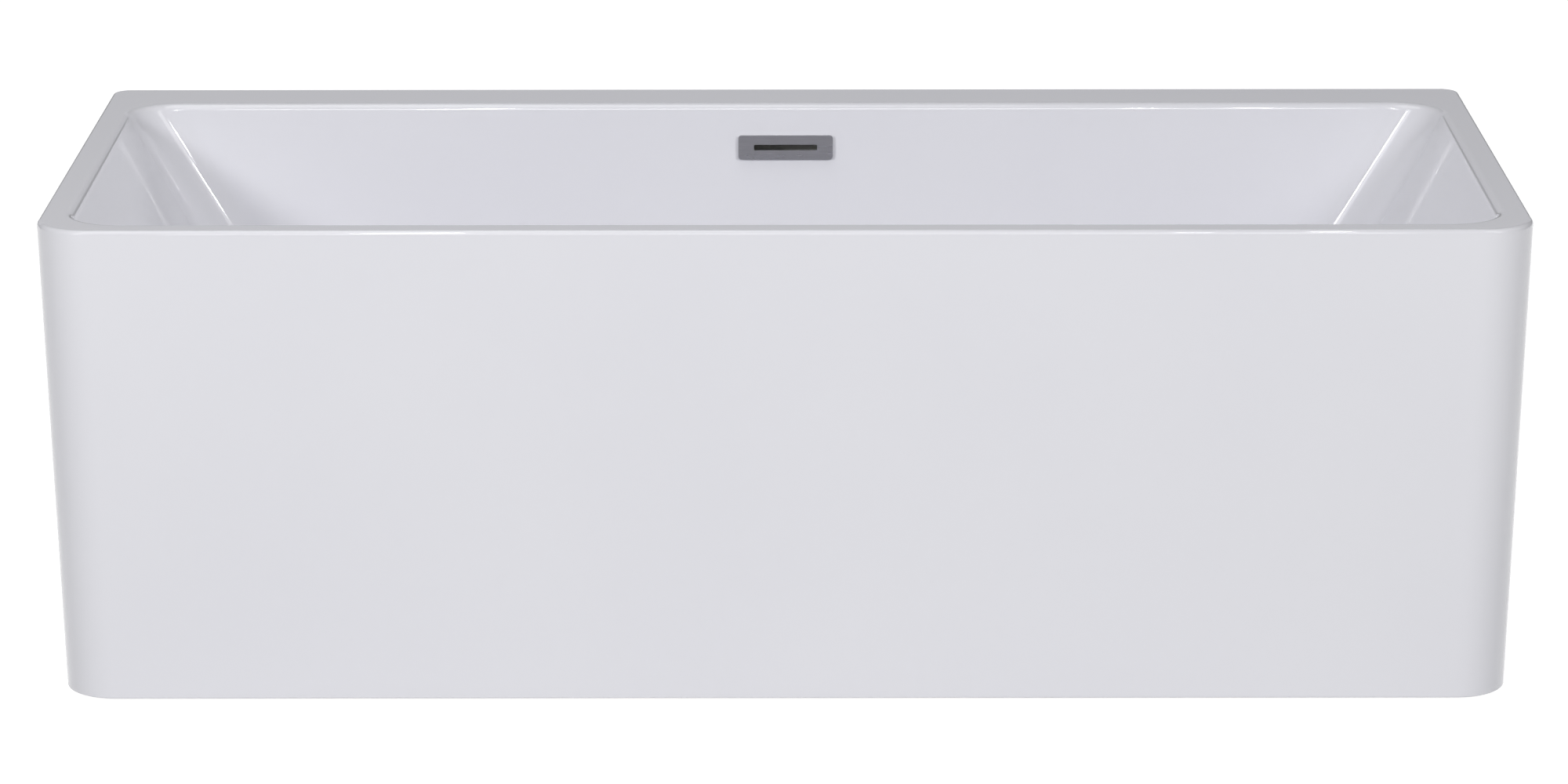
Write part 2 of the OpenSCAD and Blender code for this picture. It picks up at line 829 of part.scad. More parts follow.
// The chamber behind the wall, with a flange on the seal and a port for the pipe below
module overflow_body() {
    inner_w = chamber_w - 2 * chamber_wall;
    inner_h = chamber_h - 2 * chamber_wall;
    color(plastic_white) at_overflow() difference() {
        union() {
            cover_plate(seal_w, seal_h, seal_corner_r, body_near, body_near + body_flange_t);
            cover_plate(chamber_w, chamber_h, chamber_corner_r, body_near, chamber_far);
            translate([0, pipe_y, -port_z]) cylinder(r = port_r, h = port_l + clear);
        }
        cover_plate(inner_w, inner_h, chamber_corner_r - chamber_wall,
                    body_near + body_flange_t, chamber_far - chamber_wall);
        cover_plate(opening_w, opening_h, opening_r, body_near - past,
                    body_near + body_flange_t + past);
        translate([0, pipe_y, -port_z - past]) cylinder(r = socket_r, h = port_l + past);
        translate([0, pipe_y, -port_z]) cylinder(r = pipe_bore_r, h = port_z);
        mount_screw_shanks(screw_fit);
    }
}

// The bend lies between the pipe's leaning run down the wall and the level run to the waste
bend_middle_y = cover_y + (pipe_y - pipe_bend_r) * cos(side_lean) - bend_drop * sin(side_lean);
waste_port_reach = 62;
waste_port_end = waste_y + waste_port_reach;
waste_port_stop = waste_port_end - port_l;

// The upper pipe, from the stop in the body's port to the stop in the bend's socket
module overflow_pipe() {
    color(plastic_white) at_overflow() translate([0, pipe_y, 0])
        tube(pipe_r, pipe_bore_r, -bend_drop, -chamber_h / 2);
}

// The lower pipe, from the bend to the waste body's port
module cross_pipe() {
    color(plastic_white) translate([0, bend_middle_y, pipe_z]) rotate([90, 0, 0])
        tube(pipe_r, pipe_bore_r, 0, bend_middle_y - waste_port_stop);
}

// The bend, with a socket for a pipe at each end
module overflow_bend() {
    color(plastic_white) difference() {
        union() {
            bend_run(pipe_r);
            bend_sockets(port_r, -bend_grip);
        }
        bend_run(pipe_bore_r);
        bend_sockets(socket_r, 0);
    }
}
bend_grip = 4;
bend_socket_l = 20;

module bend_run(r) {
    at_overflow() translate([0, pipe_y - pipe_bend_r, -bend_drop]) rotate([0, 90, 0])
        rotate([0, 0, side_lean]) rotate_extrude(angle = 90 - side_lean)
        translate([pipe_bend_r, 0]) circle(r);
}

// A cylinder at each end of the bend, from start past the end out to the socket's mouth
module bend_sockets(r, start) {
    mouth = bend_socket_l + (start < 0 ? 0 : past);
    at_overflow() translate([0, pipe_y, start - bend_drop]) cylinder(r = r, h = mouth - start);
    translate([0, bend_middle_y - start, pipe_z]) rotate([90, 0, 0])
        cylinder(r = r, h = mouth - start);
}

// A union nut over the end of a port, open towards +Z where the port enters
module pipe_nut() {
    nut_r = port_r + nut_wall;
    color(plastic_grey) difference() {
        union() {
            cylinder(r = nut_r, h = nut_l);
            for (i = [0:nut_ribs - 1]) rotate([0, 0, 360 * i / nut_ribs])
                translate([nut_r - past, -nut_rib_w / 2, 0])
                cube([nut_rib_h + past, nut_rib_w, nut_l]);
        }
        translate([0, 0, nut_past]) cylinder(r = port_r + run_fit, h = nut_l);
        translate([0, 0, -past]) cylinder(r = socket_r, h = nut_l);
    }
}

module overflow_pipe_nut() {
    at_overflow() translate([0, pipe_y, -port_z - nut_past]) pipe_nut();
}
module waste_pipe_nut() {
    translate([0, waste_port_end + nut_past, pipe_z]) rotate([90, 0, 0]) pipe_nut();
}

// ---------- Waste ----------

seat_z = floor_z - dish_depth;
upper_seal_t = 1.5;
upper_seal_inset = 1;
flange_t = 3;
flange_top = seat_z + upper_seal_t + flange_t;
flange_r = flange_d / 2;
tail_r = 24;
tail_bore_r = 21.5;
tail_foot = pipe_z + port_r;
bar_w = 6;
bar_h = 6;
hub_r = 10;
boss_r = 6;
lower_seal_t = 3;
lower_seal_r = 37;
body_collar_h = 6;
body_wall = 3;
body_top = seat_z - shell_t - lower_seal_t;
body_shoulder = pipe_z - port_r;
outlet_r = outlet_d / 2;
outlet_wall = 3.5;
outlet_bore_r = outlet_r - outlet_wall;
outlet_l = 22;

module waste_upper_seal() {
    color(rubber_black) at_waste()
        tube(flange_r - upper_seal_inset, waste_hole_r, seat_z, seat_z + upper_seal_t);
}

module waste_lower_seal() {
    color(rubber_black) at_waste()
        tube(lower_seal_r, waste_hole_r, body_top, body_top + lower_seal_t);
}

// The flange with its tail down into the body, and the crossbars that carry the cartridge
module waste_flange() {
    color(chrome_grey) at_waste() {
        tube(flange_r, tail_bore_r, seat_z + upper_seal_t, flange_top);
        tube(tail_r, tail_bore_r, tail_foot, seat_z + upper_seal_t);
        difference() {
            union() {
                for (a = [0, 90]) rotate([0, 0, a])
                    translate([-tail_bore_r - past, -bar_w / 2, tail_foot])
                    cube([2 * (tail_bore_r + past), bar_w, bar_h]);
                translate([0, 0, tail_foot]) cylinder(r = hub_r, h = bar_h);
            }
            translate([0, 0, tail_foot - past]) cylinder(r = boss_r, h = bar_h + 2 * past);
        }
    }
}

// The body under the floor, with the port for the overflow pipe and the outlet to the trap
module waste_body() {
    color(plastic_white) at_waste() difference() {
        union() {
            translate([0, 0, body_top - body_collar_h])
                cylinder(r = lower_seal_r, h = body_collar_h);
            translate([0, 0, body_shoulder])
                cylinder(r = tail_r + body_wall, h = body_top - body_shoulder);
            translate([0, 0, body_shoulder - outlet_l]) cylinder(r = outlet_r, h = outlet_l);
            translate([0, waste_port_end - waste_y, pipe_z]) rotate([90, 0, 0])
                cylinder(r = port_r, h = waste_port_end - waste_y);
        }
        translate([0, 0, body_shoulder + body_wall]) cylinder(r = tail_r, h = body_top);
        translate([0, 0, body_shoulder - outlet_l - past]) cylinder(r = outlet_bore_r, h = body_top);
        translate([0, waste_port_end - waste_y + past, pipe_z]) rotate([90, 0, 0])
            cylinder(r = socket_r, h = port_l + past);
        translate([0, waste_port_end - waste_y, pipe_z]) rotate([90, 0, 0])
            cylinder(r = pipe_bore_r, h = waste_port_end - waste_y);
    }
}

// ---------- Plug ----------

plug_r = plug_d / 2;
plug_seal_t = 1.5;
plug_seal_inset = 2;
plug_cap_h = 4.5;
plug_edge_r = 2;
cap_foot = flange_top + plug_seal_t;
stem_r = 4;
stem_grip = 3;
stem_foot = tail_foot + clear;
cartridge_r = 10;
cartridge_wall = 2;
cartridge_drop = 8;
cartridge_top = flange_top - cartridge_drop;
chamber_foot = tail_foot + bar_h + cartridge_wall;
chamber_top = cartridge_top - cartridge_wall;
collar_r = 6.8;
collar_h = 1.5;
collar_z = chamber_top - plug_lift - collar_h - clear;
spring_r = 6;
spring_wire_r = 0.6;
spring_turns = 5;
spring_sides = 8;
spring_steps = 16;

module plug_cap() {
    color(chrome_grey) at_waste() translate([0, 0, cap_foot]) difference() {
        rotate_extrude() {
            square([plug_r - plug_edge_r, plug_cap_h]);
            square([plug_r, plug_cap_h - plug_edge_r]);
            translate([plug_r - plug_edge_r, plug_cap_h - plug_edge_r]) circle(plug_edge_r);
        }
        translate([0, 0, -past]) cylinder(r = stem_r, h = stem_grip + past);
    }
}

module plug_seal() {
    color(rubber_black) at_waste()
        tube(plug_r - plug_seal_inset, tail_bore_r + clear, flange_top, cap_foot);
}

module plug_stem() {
    color(brass_yellow) at_waste() {
        translate([0, 0, stem_foot]) cylinder(r = stem_r, h = cap_foot + stem_grip - stem_foot);
        translate([0, 0, collar_z]) cylinder(r = collar_r, h = collar_h);
    }
}

// The push-button cartridge: a barrel on the crossbars, with a guide for the stem at each end
module plug_cartridge() {
    barrel_foot = tail_foot + bar_h;
    chamber_r = cartridge_r - cartridge_wall;
    color(brass_yellow) at_waste() difference() {
        union() {
            translate([0, 0, barrel_foot]) cylinder(r = cartridge_r, h = cartridge_top - barrel_foot);
            translate([0, 0, tail_foot]) cylinder(r = boss_r, h = bar_h);
        }
        translate([0, 0, chamber_foot]) cylinder(r = chamber_r, h = chamber_top - chamber_foot);
        translate([0, 0, tail_foot - past])
            cylinder(r = stem_r + run_fit, h = cartridge_top - tail_foot + 2 * past);
    }
}

// The spring under the stem's collar, as a wire swept along a helix
module plug_spring() {
    steps = spring_turns * spring_steps;
    foot = chamber_foot + spring_wire_r;
    rise = (collar_z - spring_wire_r - foot) / steps;
    points = [
        for (k = [0:steps], s = [0:spring_sides - 1])
            let (
                turn = 360 * k / spring_steps,
                side = 360 * s / spring_sides,
                r = spring_r + spring_wire_r * cos(side)
            )
            [r * cos(turn), r * sin(turn), foot + rise * k + spring_wire_r * sin(side)]
    ];
    wall = [
        for (k = [0:steps - 1], s = [0:spring_sides - 1])
            let (t = (s + 1) % spring_sides, a = k * spring_sides, b = a + spring_sides)
            [a + s, a + t, b + t, b + s]
    ];
    start_cap = [for (s = [spring_sides - 1:-1:0]) s];
    end_cap = [for (s = [0:spring_sides - 1]) steps * spring_sides + s];
    color(zinc_grey) at_waste()
        polyhedron(points = points, faces = concat(wall, [start_cap, end_cap]));
}

inner_tub();
tub_backing();
outer_skirt();
skirt_backing();
base_board();
rear_rim_batten();
front_rail();
rear_rail();
left_rail();
right_rail();
left_cross_member();
right_cross_member();
rear_left_post();
rear_right_post();
rail_end_caps();
board_screws();
skirt_blocks();
skirt_brackets();
skirt_bracket_screws();
foot_weld_nuts();
foot_locknuts();
front_left_foot_pad();
front_left_foot_stud();
front_middle_foot_pad();
front_middle_foot_stud();
front_right_foot_pad();
front_right_foot_stud();
rear_left_foot_pad();
rear_left_foot_stud();
rear_right_foot_pad();
rear_right_foot_stud();
overflow_cover();
overflow_mount();
overflow_screws();
overflow_seal();
overflow_body();
overflow_pipe();
overflow_bend();
cross_pipe();
overflow_pipe_nut();
waste_pipe_nut();
waste_flange();
waste_upper_seal();
waste_lower_seal();
waste_body();
plug_cap();
plug_seal();
plug_stem();
plug_cartridge();
plug_spring();
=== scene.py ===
"""Looks for the back-to-wall bathtub: glossy acrylic tub and skirt on a steel frame."""
import json
import math

import bmesh
import bpy
from mathutils import Matrix, Vector, noise


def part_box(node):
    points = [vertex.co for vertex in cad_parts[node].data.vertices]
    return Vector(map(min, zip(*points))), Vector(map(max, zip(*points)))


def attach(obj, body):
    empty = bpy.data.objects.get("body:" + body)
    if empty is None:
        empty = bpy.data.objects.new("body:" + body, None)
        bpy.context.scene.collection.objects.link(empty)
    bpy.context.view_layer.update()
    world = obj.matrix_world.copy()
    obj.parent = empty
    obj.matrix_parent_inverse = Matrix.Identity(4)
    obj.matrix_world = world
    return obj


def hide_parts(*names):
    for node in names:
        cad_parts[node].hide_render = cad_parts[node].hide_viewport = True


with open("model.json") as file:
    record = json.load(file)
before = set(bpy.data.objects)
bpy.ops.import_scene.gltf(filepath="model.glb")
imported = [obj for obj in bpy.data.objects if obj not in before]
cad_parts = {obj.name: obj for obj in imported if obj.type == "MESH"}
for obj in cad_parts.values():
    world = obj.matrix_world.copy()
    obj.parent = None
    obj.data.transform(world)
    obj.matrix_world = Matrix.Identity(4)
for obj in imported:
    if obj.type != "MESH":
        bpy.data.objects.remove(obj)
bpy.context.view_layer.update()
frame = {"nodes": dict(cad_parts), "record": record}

scene = bpy.context.scene

# ---------- Camera ----------

CAMERA_PLACE = (0.0087, -5.951, 1.942)
CAMERA_LOOKS_DOWN = 0.2737
CAMERA_TURN = 0.001774
CAMERA_ROLL = -0.001405
CAMERA_LENS = 117.2
CAMERA_SENSOR = 36

camera_data = bpy.data.cameras.new("studio_camera")
camera_data.lens = CAMERA_LENS
camera_data.sensor_width = CAMERA_SENSOR
camera_data.clip_end = 100
camera = bpy.data.objects.new("studio_camera", camera_data)
scene.collection.objects.link(camera)
camera.matrix_world = (
    Matrix.Translation(CAMERA_PLACE)
    @ Matrix.Rotation(CAMERA_TURN, 4, "Z")
    @ Matrix.Rotation(math.radians(90) - CAMERA_LOOKS_DOWN, 4, "X")
    @ Matrix.Rotation(CAMERA_ROLL, 4, "Z")
)
scene.camera = camera
scene.view_settings.view_transform = "Standard"

# ---------- Sizes ----------

tub_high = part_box("inner_tub")[1]
skirt_low, skirt_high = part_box("outer_skirt")
HALF_LENGTH = tub_high.x
HALF_WIDTH = tub_high.y
RIM_HEIGHT = tub_high.z
SKIRT_TOP = skirt_high.z
SKIRT_FOOT = skirt_low.z
WASTE_Y = sum(corner.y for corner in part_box("waste_flange")) / 2

END_RIM = 0.028
FRONT_RIM = 0.026
REAR_LEDGE = 0.080
RIM_EDGE_R = 0.006
RIM_ROLL_R = 0.010
FRONT_CORNER_R = 0.062
REAR_CORNER_R = 0.022
BASIN_DEPTH = 0.430
END_LEAN = math.radians(30)
SIDE_LEAN = math.radians(6)
BASIN_TOP_R = 0.060
BASIN_FOOT_R = 0.090
FLOOR_ROLL_R = 0.060
ACRYLIC_T = 0.005
SHELL_T = 0.008
GLUE_LINE = 0.00001
SKIRT_LEAN_IN = 0.012
WALL_RETURN = 0.060
FLOOR_Z = RIM_HEIGHT - BASIN_DEPTH
LEAN_HEIGHT = RIM_HEIGHT - RIM_EDGE_R - SKIRT_FOOT

# ---------- Making pieces ----------

SMOOTH_BELOW = math.radians(32)
TOUCHING = 0.000001


def finished(name, bm, finish, stands_for=(), body="bath", smooth_below=SMOOTH_BELOW):
    """Turns a bmesh into a piece that rides on a body and stands for CAD nodes."""
    mesh = bpy.data.meshes.new(name)
    bm.to_mesh(mesh)
    bm.free()
    mesh.materials.append(finish)
    mesh.shade_smooth()
    mesh.set_sharp_from_angle(angle=smooth_below)
    piece = bpy.data.objects.new(name, mesh)
    scene.collection.objects.link(piece)
    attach(piece, body)
    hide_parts(*stands_for)
    return piece


BODY_OF = {
    node: body for body, nodes in frame["record"]["behaviour"]["bodies"].items() for node in nodes
}


def body_of(node):
    """The body that a CAD node moves with."""
    return BODY_OF[node]


def even_shading(piece):
    """Keeps the flat panels of a piece flat where they meet its rounded edges."""
    weighted = piece.modifiers.new("flat panels stay flat", "WEIGHTED_NORMAL")
    weighted.keep_sharp = True
    weighted.weight = 100


def skin_through(rings, closed=True):
    """A skin drawn through rings of equally many points, in their order."""
    bm = bmesh.new()
    order = bm.verts.layers.int.new("order")
    start = bmesh.ops.create_circle(bm, segments=len(rings[0]), radius=1)["verts"]
    for number, (vert, place) in enumerate(zip(start, rings[0])):
        vert[order] = number
        vert.co = place
    if not closed:
        ends = {start[0], start[-1]}
        closing = [e for e in bm.edges if set(e.verts) == ends]
        bmesh.ops.delete(bm, geom=closing, context="EDGES")
    edges = list(bm.edges)
    for ring in rings[1:]:
        made = bmesh.ops.extrude_edge_only(bm, edges=edges)["geom"]
        verts = {v for v in made if isinstance(v, bmesh.types.BMVert)}
        edges = [
            e for e in made if isinstance(e, bmesh.types.BMEdge) and verts.issuperset(e.verts)
        ]
        for vert in verts:
            vert.co = ring[vert[order]]
    return bm, edges


def ring_edges(bm, count):
    """The first ring's edges of a skin: its boundary edges with both ends among count verts."""
    bm.verts.ensure_lookup_table()
    first = set(bm.verts[:count])
    return [e for e in bm.edges if first.issuperset(e.verts)]


def circle_points(radius, z, count, centre, front_middle):
    """A level circle of points; point number front_middle is its foremost."""
    turns = [math.pi * (1.5 + 2 * (i - front_middle) / count) for i in range(count)]
    return [
        Vector((centre[0] + radius * math.cos(a), centre[1] + radius * math.sin(a), z))
        for a in turns
    ]


def quarter(x, y, r, start, z, steps):
    """A quarter circle of steps + 1 points, from angle start."""
    turns = [start + math.pi / 2 * i / steps for i in range(steps + 1)]
    return [Vector((x + r * math.cos(a), y + r * math.sin(a), z)) for a in turns]


def between(a, b, count):
    """Count points on the straight run from a to b, without its ends."""
    return [a.lerp(b, i / (count + 1)) for i in range(1, count + 1)]


def rounded_ring(half_x, front, rear, front_r, rear_r, z, steps, runs=(0, 0)):
    """A level ring with round corners, anticlockwise from its front left corner.

    Runs are the numbers of points along each straight front or rear, and along each end.
    """
    corners = [
        quarter(front_r - half_x, front + front_r, front_r, math.pi, z, steps),
        quarter(half_x - front_r, front + front_r, front_r, 1.5 * math.pi, z, steps),
        quarter(half_x - rear_r, rear - rear_r, rear_r, 0, z, steps),
        quarter(rear_r - half_x, rear - rear_r, rear_r, math.pi / 2, z, steps),
    ]
    ring = []
    for number, corner in enumerate(corners):
        following = corners[(number + 1) % 4]
        ring += corner + between(corner[-1], following[0], runs[number % 2])
    return ring


# ---------- The basin's shape ----------


def roll_end(lean, skin):
    return RIM_HEIGHT - skin - (RIM_ROLL_R - skin) * (1 - math.sin(lean))


def foot_start(lean, skin):
    return FLOOR_Z - skin + (FLOOR_ROLL_R + skin) * (1 - math.sin(lean))


def wall_line(lean, skin, z):
    return (RIM_ROLL_R - skin) * math.cos(lean) + math.tan(lean) * (roll_end(lean, skin) - z)


def wall_inset(lean, skin, z):
    """How far a wall has come in at height z; skin is the depth below the acrylic's face."""
    if z > roll_end(lean, skin):
        return math.sqrt(max(0, (RIM_ROLL_R - skin) ** 2 - (z - RIM_HEIGHT + RIM_ROLL_R) ** 2))
    if z > foot_start(lean, skin):
        return wall_line(lean, skin, z)
    reach = FLOOR_ROLL_R + skin
    rise = math.sqrt(max(0, reach**2 - (FLOOR_Z + FLOOR_ROLL_R - z) ** 2))
    return wall_line(lean, skin, foot_start(lean, skin)) + reach * math.cos(lean) - rise


def basin_ring(skin, z, steps, runs=(0, 0)):
    """The ring of the basin's wall at height z."""
    end_in = END_RIM + wall_inset(END_LEAN, skin, z)
    side_in = wall_inset(SIDE_LEAN, skin, z)
    wall_r = BASIN_TOP_R + (BASIN_FOOT_R - BASIN_TOP_R) * (RIM_HEIGHT - z) / BASIN_DEPTH
    r = wall_r + skin - side_in + wall_line(SIDE_LEAN, skin, z)
    front = FRONT_RIM + side_in - HALF_WIDTH
    rear = HALF_WIDTH - REAR_LEDGE - side_in
    return rounded_ring(HALF_LENGTH - end_in, front, rear, r, r, z, steps, runs)


def foot_levels(skin, steps):
    """Heights at which the walls roll out of the floor, rising."""
    turns = [SIDE_LEAN + (math.pi / 2 - SIDE_LEAN) * i / steps for i in range(steps, -1, -1)]
    return [FLOOR_Z - skin + (FLOOR_ROLL_R + skin) * (1 - math.sin(a)) for a in turns]


def roll_levels(skin, steps):
    """Heights at which the walls roll over into the rim, rising."""
    turns = [(math.pi / 2 - SIDE_LEAN) * i / steps for i in range(steps, -1, -1)]
    return [RIM_HEIGHT - skin - (RIM_ROLL_R - skin) * (1 - math.cos(a)) for a in turns]


def rim_ring(inset, z, steps, runs=(0, 0), lean=0):
    """The outline of the bath at height z, set in from its outside."""
    half_x = HALF_LENGTH - inset - lean
    front = inset + lean - HALF_WIDTH
    front_r = FRONT_CORNER_R - inset
    rear_r = REAR_CORNER_R - inset
    return rounded_ring(half_x, front, HALF_WIDTH - inset, front_r, rear_r, z, steps, runs)


def lean_in(z):
    """How far the skirt has leaned in at height z, on the front and the ends."""
    return SKIRT_LEAN_IN * (RIM_HEIGHT - RIM_EDGE_R - z) / LEAN_HEIGHT


# ---------- Finishes ----------


def start_finish(name):
    """A new material, with its node tree and its main shader."""
    made = bpy.data.materials.new(name)
    made.use_nodes = True
    return made, made.node_tree, made.node_tree.nodes["Principled BSDF"]


def object_place(tree, scale=(1, 1, 1), turn=(0, 0, 0)):
    """Object coordinates, turned and then scaled."""
    source = tree.nodes.new("ShaderNodeTexCoord")
    mapping = tree.nodes.new("ShaderNodeMapping")
    mapping.vector_type = "TEXTURE"
    mapping.inputs["Scale"].default_value = [1 / part for part in scale]
    mapping.inputs["Rotation"].default_value = turn
    tree.links.new(source.outputs["Object"], mapping.inputs["Vector"])
    return mapping.outputs["Vector"]


def grain(tree, scale, detail=4, stretch=(1, 1, 1), turn=(0, 0, 0), rough=0.5, warp=0):
    """Noise at scale per metre, stretched and turned."""
    node = tree.nodes.new("ShaderNodeTexNoise")
    node.inputs["Scale"].default_value = scale
    node.inputs["Detail"].default_value = detail
    node.inputs["Roughness"].default_value = rough
    node.inputs["Distortion"].default_value = warp
    tree.links.new(object_place(tree, stretch, turn), node.inputs["Vector"])
    return node.outputs["Fac"]


def cells(tree, scale, feature="F1", output="Distance", stretch=(1, 1, 1)):
    """A pattern of cells, at scale per metre."""
    node = tree.nodes.new("ShaderNodeTexVoronoi")
    node.feature = feature
    node.inputs["Scale"].default_value = scale
    tree.links.new(object_place(tree, stretch), node.inputs["Vector"])
    return node.outputs[output]


def spread(tree, source, low, high, to_low, to_high):
    """Carries a value from one range to another, held at its ends."""
    node = tree.nodes.new("ShaderNodeMapRange")
    for name, value in (
        ("From Min", low),
        ("From Max", high),
        ("To Min", to_low),
        ("To Max", to_high),
    ):
        node.inputs[name].default_value = value
    tree.links.new(source, node.inputs["Value"])
    return node.outputs["Result"]


def tones(tree, source, *stops):
    """Colours along a value: each stop is a place and a colour."""
    node = tree.nodes.new("ShaderNodeValToRGB")
    ramp = node.color_ramp
    while len(ramp.elements) < len(stops):
        ramp.elements.new(0.5)
    for element, (place, colour) in zip(ramp.elements, stops):
        element.position = place
        element.color = (*colour, 1)
    tree.links.new(source, node.inputs["Fac"])
    return node.outputs["Color"]


def blended(tree, share, first, second, way="MIX"):
    """One colour laid over another by a share, which is a number or a value."""
    node = tree.nodes.new("ShaderNodeMix")
    node.data_type = "RGBA"
    node.blend_type = way
    for place, value in ((0, share), (6, first), (7, second)):
        if isinstance(value, bpy.types.NodeSocket):
            tree.links.new(value, node.inputs[place])
        else:
            node.inputs[place].default_value = value
    return node.outputs[2]


def sums(tree, first, second, way="ADD"):
    """Two values put together."""
    node = tree.nodes.new("ShaderNodeMath")
    node.operation = way
    for place, value in enumerate((first, second)):
        if isinstance(value, bpy.types.NodeSocket):
            tree.links.new(value, node.inputs[place])
        else:
            node.inputs[place].default_value = value
    return node.outputs[0]


def relief(tree, height, depth, under=None, strength=1):
    """A bumpy surface, whose height of 1 stands depth metres proud."""
    node = tree.nodes.new("ShaderNodeBump")
    node.inputs["Strength"].default_value = strength
    node.inputs["Distance"].default_value = depth
    tree.links.new(height, node.inputs["Height"])
    if under is not None:
        tree.links.new(under, node.inputs["Normal"])
    return node.outputs["Normal"]


def join(tree, shader, **sockets):
    """Links or sets the shader's sockets, with _ for each space in their names."""
    for name, value in sockets.items():
        socket = shader.inputs[name.replace("_", " ")]
        if isinstance(value, bpy.types.NodeSocket):
            tree.links.new(value, socket)
        else:
            socket.default_value = value


def acrylic_finish():
    """Gloss white acrylic: a faint unevenness from forming, and faint wipe marks."""
    made, tree, shader = start_finish("gloss_white_acrylic")
    cloud = grain(tree, 2.2, 3)
    colour = tones(tree, cloud, (0.3, (0.835, 0.835, 0.885)), (0.7, (0.856, 0.856, 0.900)))
    wiped = grain(tree, 9, 5, (1, 0.35, 1.6), rough=0.6)
    waves = relief(tree, grain(tree, 5, 1), 0.00004)
    peel = relief(tree, grain(tree, 240, 2), 0.000001, waves)
    join(
        tree,
        shader,
        Base_Color=colour,
        Roughness=spread(tree, wiped, 0.35, 0.7, 0.04, 0.08),
        Normal=peel,
        IOR=1.49,
        Coat_Weight=0.35,
        Coat_Roughness=0.04,
    )
    return made


STRAND_TURNS = (
    (0.2, 0.5, 0.3),
    (1.1, 0.2, 0.9),
    (0.4, 1.3, 1.7),
    (2.0, 0.7, 2.5),
    (0.9, 2.1, 0.6),
)


def fibreglass_finish():
    """Sprayed laminate: short strands lying every way in pale resin, rolled down wet."""
    made, tree, shader = start_finish("rough_fibreglass")
    strands = None
    for turn in STRAND_TURNS:
        lay = grain(tree, 95, 2, (0.13, 1, 1), turn, rough=0.6, warp=0.3)
        strands = lay if strands is None else sums(tree, strands, lay, "MAXIMUM")
    blotch = grain(tree, 7, 4, rough=0.6)
    resin = tones(
        tree,
        blotch,
        (0.3, (0.66, 0.63, 0.51)),
        (0.5, (0.76, 0.74, 0.64)),
        (0.7, (0.83, 0.82, 0.74)),
    )
    fibre = tones(tree, strands, (0.55, (0.70, 0.68, 0.58)), (0.76, (0.97, 0.96, 0.92)))
    lumps = relief(tree, grain(tree, 26, 3), 0.0016)
    woven = relief(tree, spread(tree, strands, 0.5, 0.85, 0, 1), 0.0006, lumps)
    join(
        tree,
        shader,
        Base_Color=blended(tree, 0.6, resin, fibre, "MULTIPLY"),
        Roughness=spread(tree, strands, 0.5, 0.75, 0.26, 0.5),
        Normal=woven,
    )
    return made


def plywood_finish():
    """Birch plywood: long grain on its faces, its plies showing on its edges."""
    made, tree, shader = start_finish("birch_plywood")
    figure = grain(tree, 30, 6, (0.08, 1, 1), rough=0.65, warp=0.8)
    face = tones(
        tree,
        figure,
        (0.25, (0.42, 0.28, 0.155)),
        (0.5, (0.60, 0.44, 0.27)),
        (0.75, (0.70, 0.54, 0.36)),
    )
    place = tree.nodes.new("ShaderNodeSeparateXYZ")
    tree.links.new(object_place(tree), place.inputs[0])
    ply = sums(tree, sums(tree, place.outputs["Z"], 0.0028, "MODULO"), 0.0014, "GREATER_THAN")
    ends = tones(tree, ply, (0.2, (0.26, 0.16, 0.085)), (0.8, (0.62, 0.47, 0.29)))
    facing = tree.nodes.new("ShaderNodeNewGeometry")
    turned = tree.nodes.new("ShaderNodeSeparateXYZ")
    tree.links.new(facing.outputs["Normal"], turned.inputs[0])
    flat = sums(tree, sums(tree, turned.outputs["Z"], 0, "ABSOLUTE"), 0.5, "GREATER_THAN")
    pores = grain(tree, 420, 3, (0.08, 1, 1))
    join(
        tree,
        shader,
        Base_Color=blended(tree, flat, ends, face),
        Roughness=spread(tree, pores, 0.3, 0.7, 0.55, 0.8),
        Normal=relief(tree, pores, 0.0002),
    )
    return made


def timber_finish():
    """Planed softwood, its growth rings long in X."""
    made, tree, shader = start_finish("planed_softwood")
    rings = tree.nodes.new("ShaderNodeTexWave")
    rings.wave_type = "RINGS"
    rings.rings_direction = "X"
    rings.inputs["Scale"].default_value = 42
    rings.inputs["Distortion"].default_value = 2.2
    rings.inputs["Detail"].default_value = 3
    rings.inputs["Detail Scale"].default_value = 1.4
    tree.links.new(object_place(tree, (0.06, 1, 1)), rings.inputs["Vector"])
    colour = tones(
        tree,
        rings.outputs["Fac"],
        (0.0, (0.44, 0.27, 0.125)),
        (0.35, (0.66, 0.47, 0.27)),
        (1.0, (0.78, 0.61, 0.39)),
    )
    pores = grain(tree, 300, 4, (0.05, 1, 1))
    pore_tint = tones(tree, pores, (0.3, (0.4, 0.4, 0.4)), (0.6, (1, 1, 1)))
    join(
        tree,
        shader,
        Base_Color=blended(tree, 0.25, colour, pore_tint, "MULTIPLY"),
        Roughness=spread(tree, pores, 0.3, 0.7, 0.5, 0.75),
        Normal=relief(tree, pores, 0.00025),
    )
    return made


def galvanised_finish():
    """Galvanised steel: flat crystals of zinc in slightly different greys, dulled in places."""
    made, tree, shader = start_finish("galvanised_steel")
    crystal = cells(tree, 110, output="Color")
    dull = grain(tree, 7, 5, rough=0.6)
    colour = tones(tree, crystal, (0.1, (0.40, 0.42, 0.44)), (0.9, (0.62, 0.64, 0.66)))
    worn = tones(tree, dull, (0.35, (0.72, 0.73, 0.74)), (0.7, (1, 1, 1)))
    join(
        tree,
        shader,
        Base_Color=blended(tree, 1.0, colour, worn, "MULTIPLY"),
        Metallic=0.9,
        Roughness=spread(tree, crystal, 0, 1, 0.32, 0.52),
        Normal=relief(tree, grain(tree, 260, 4), 0.00006),
    )
    return made


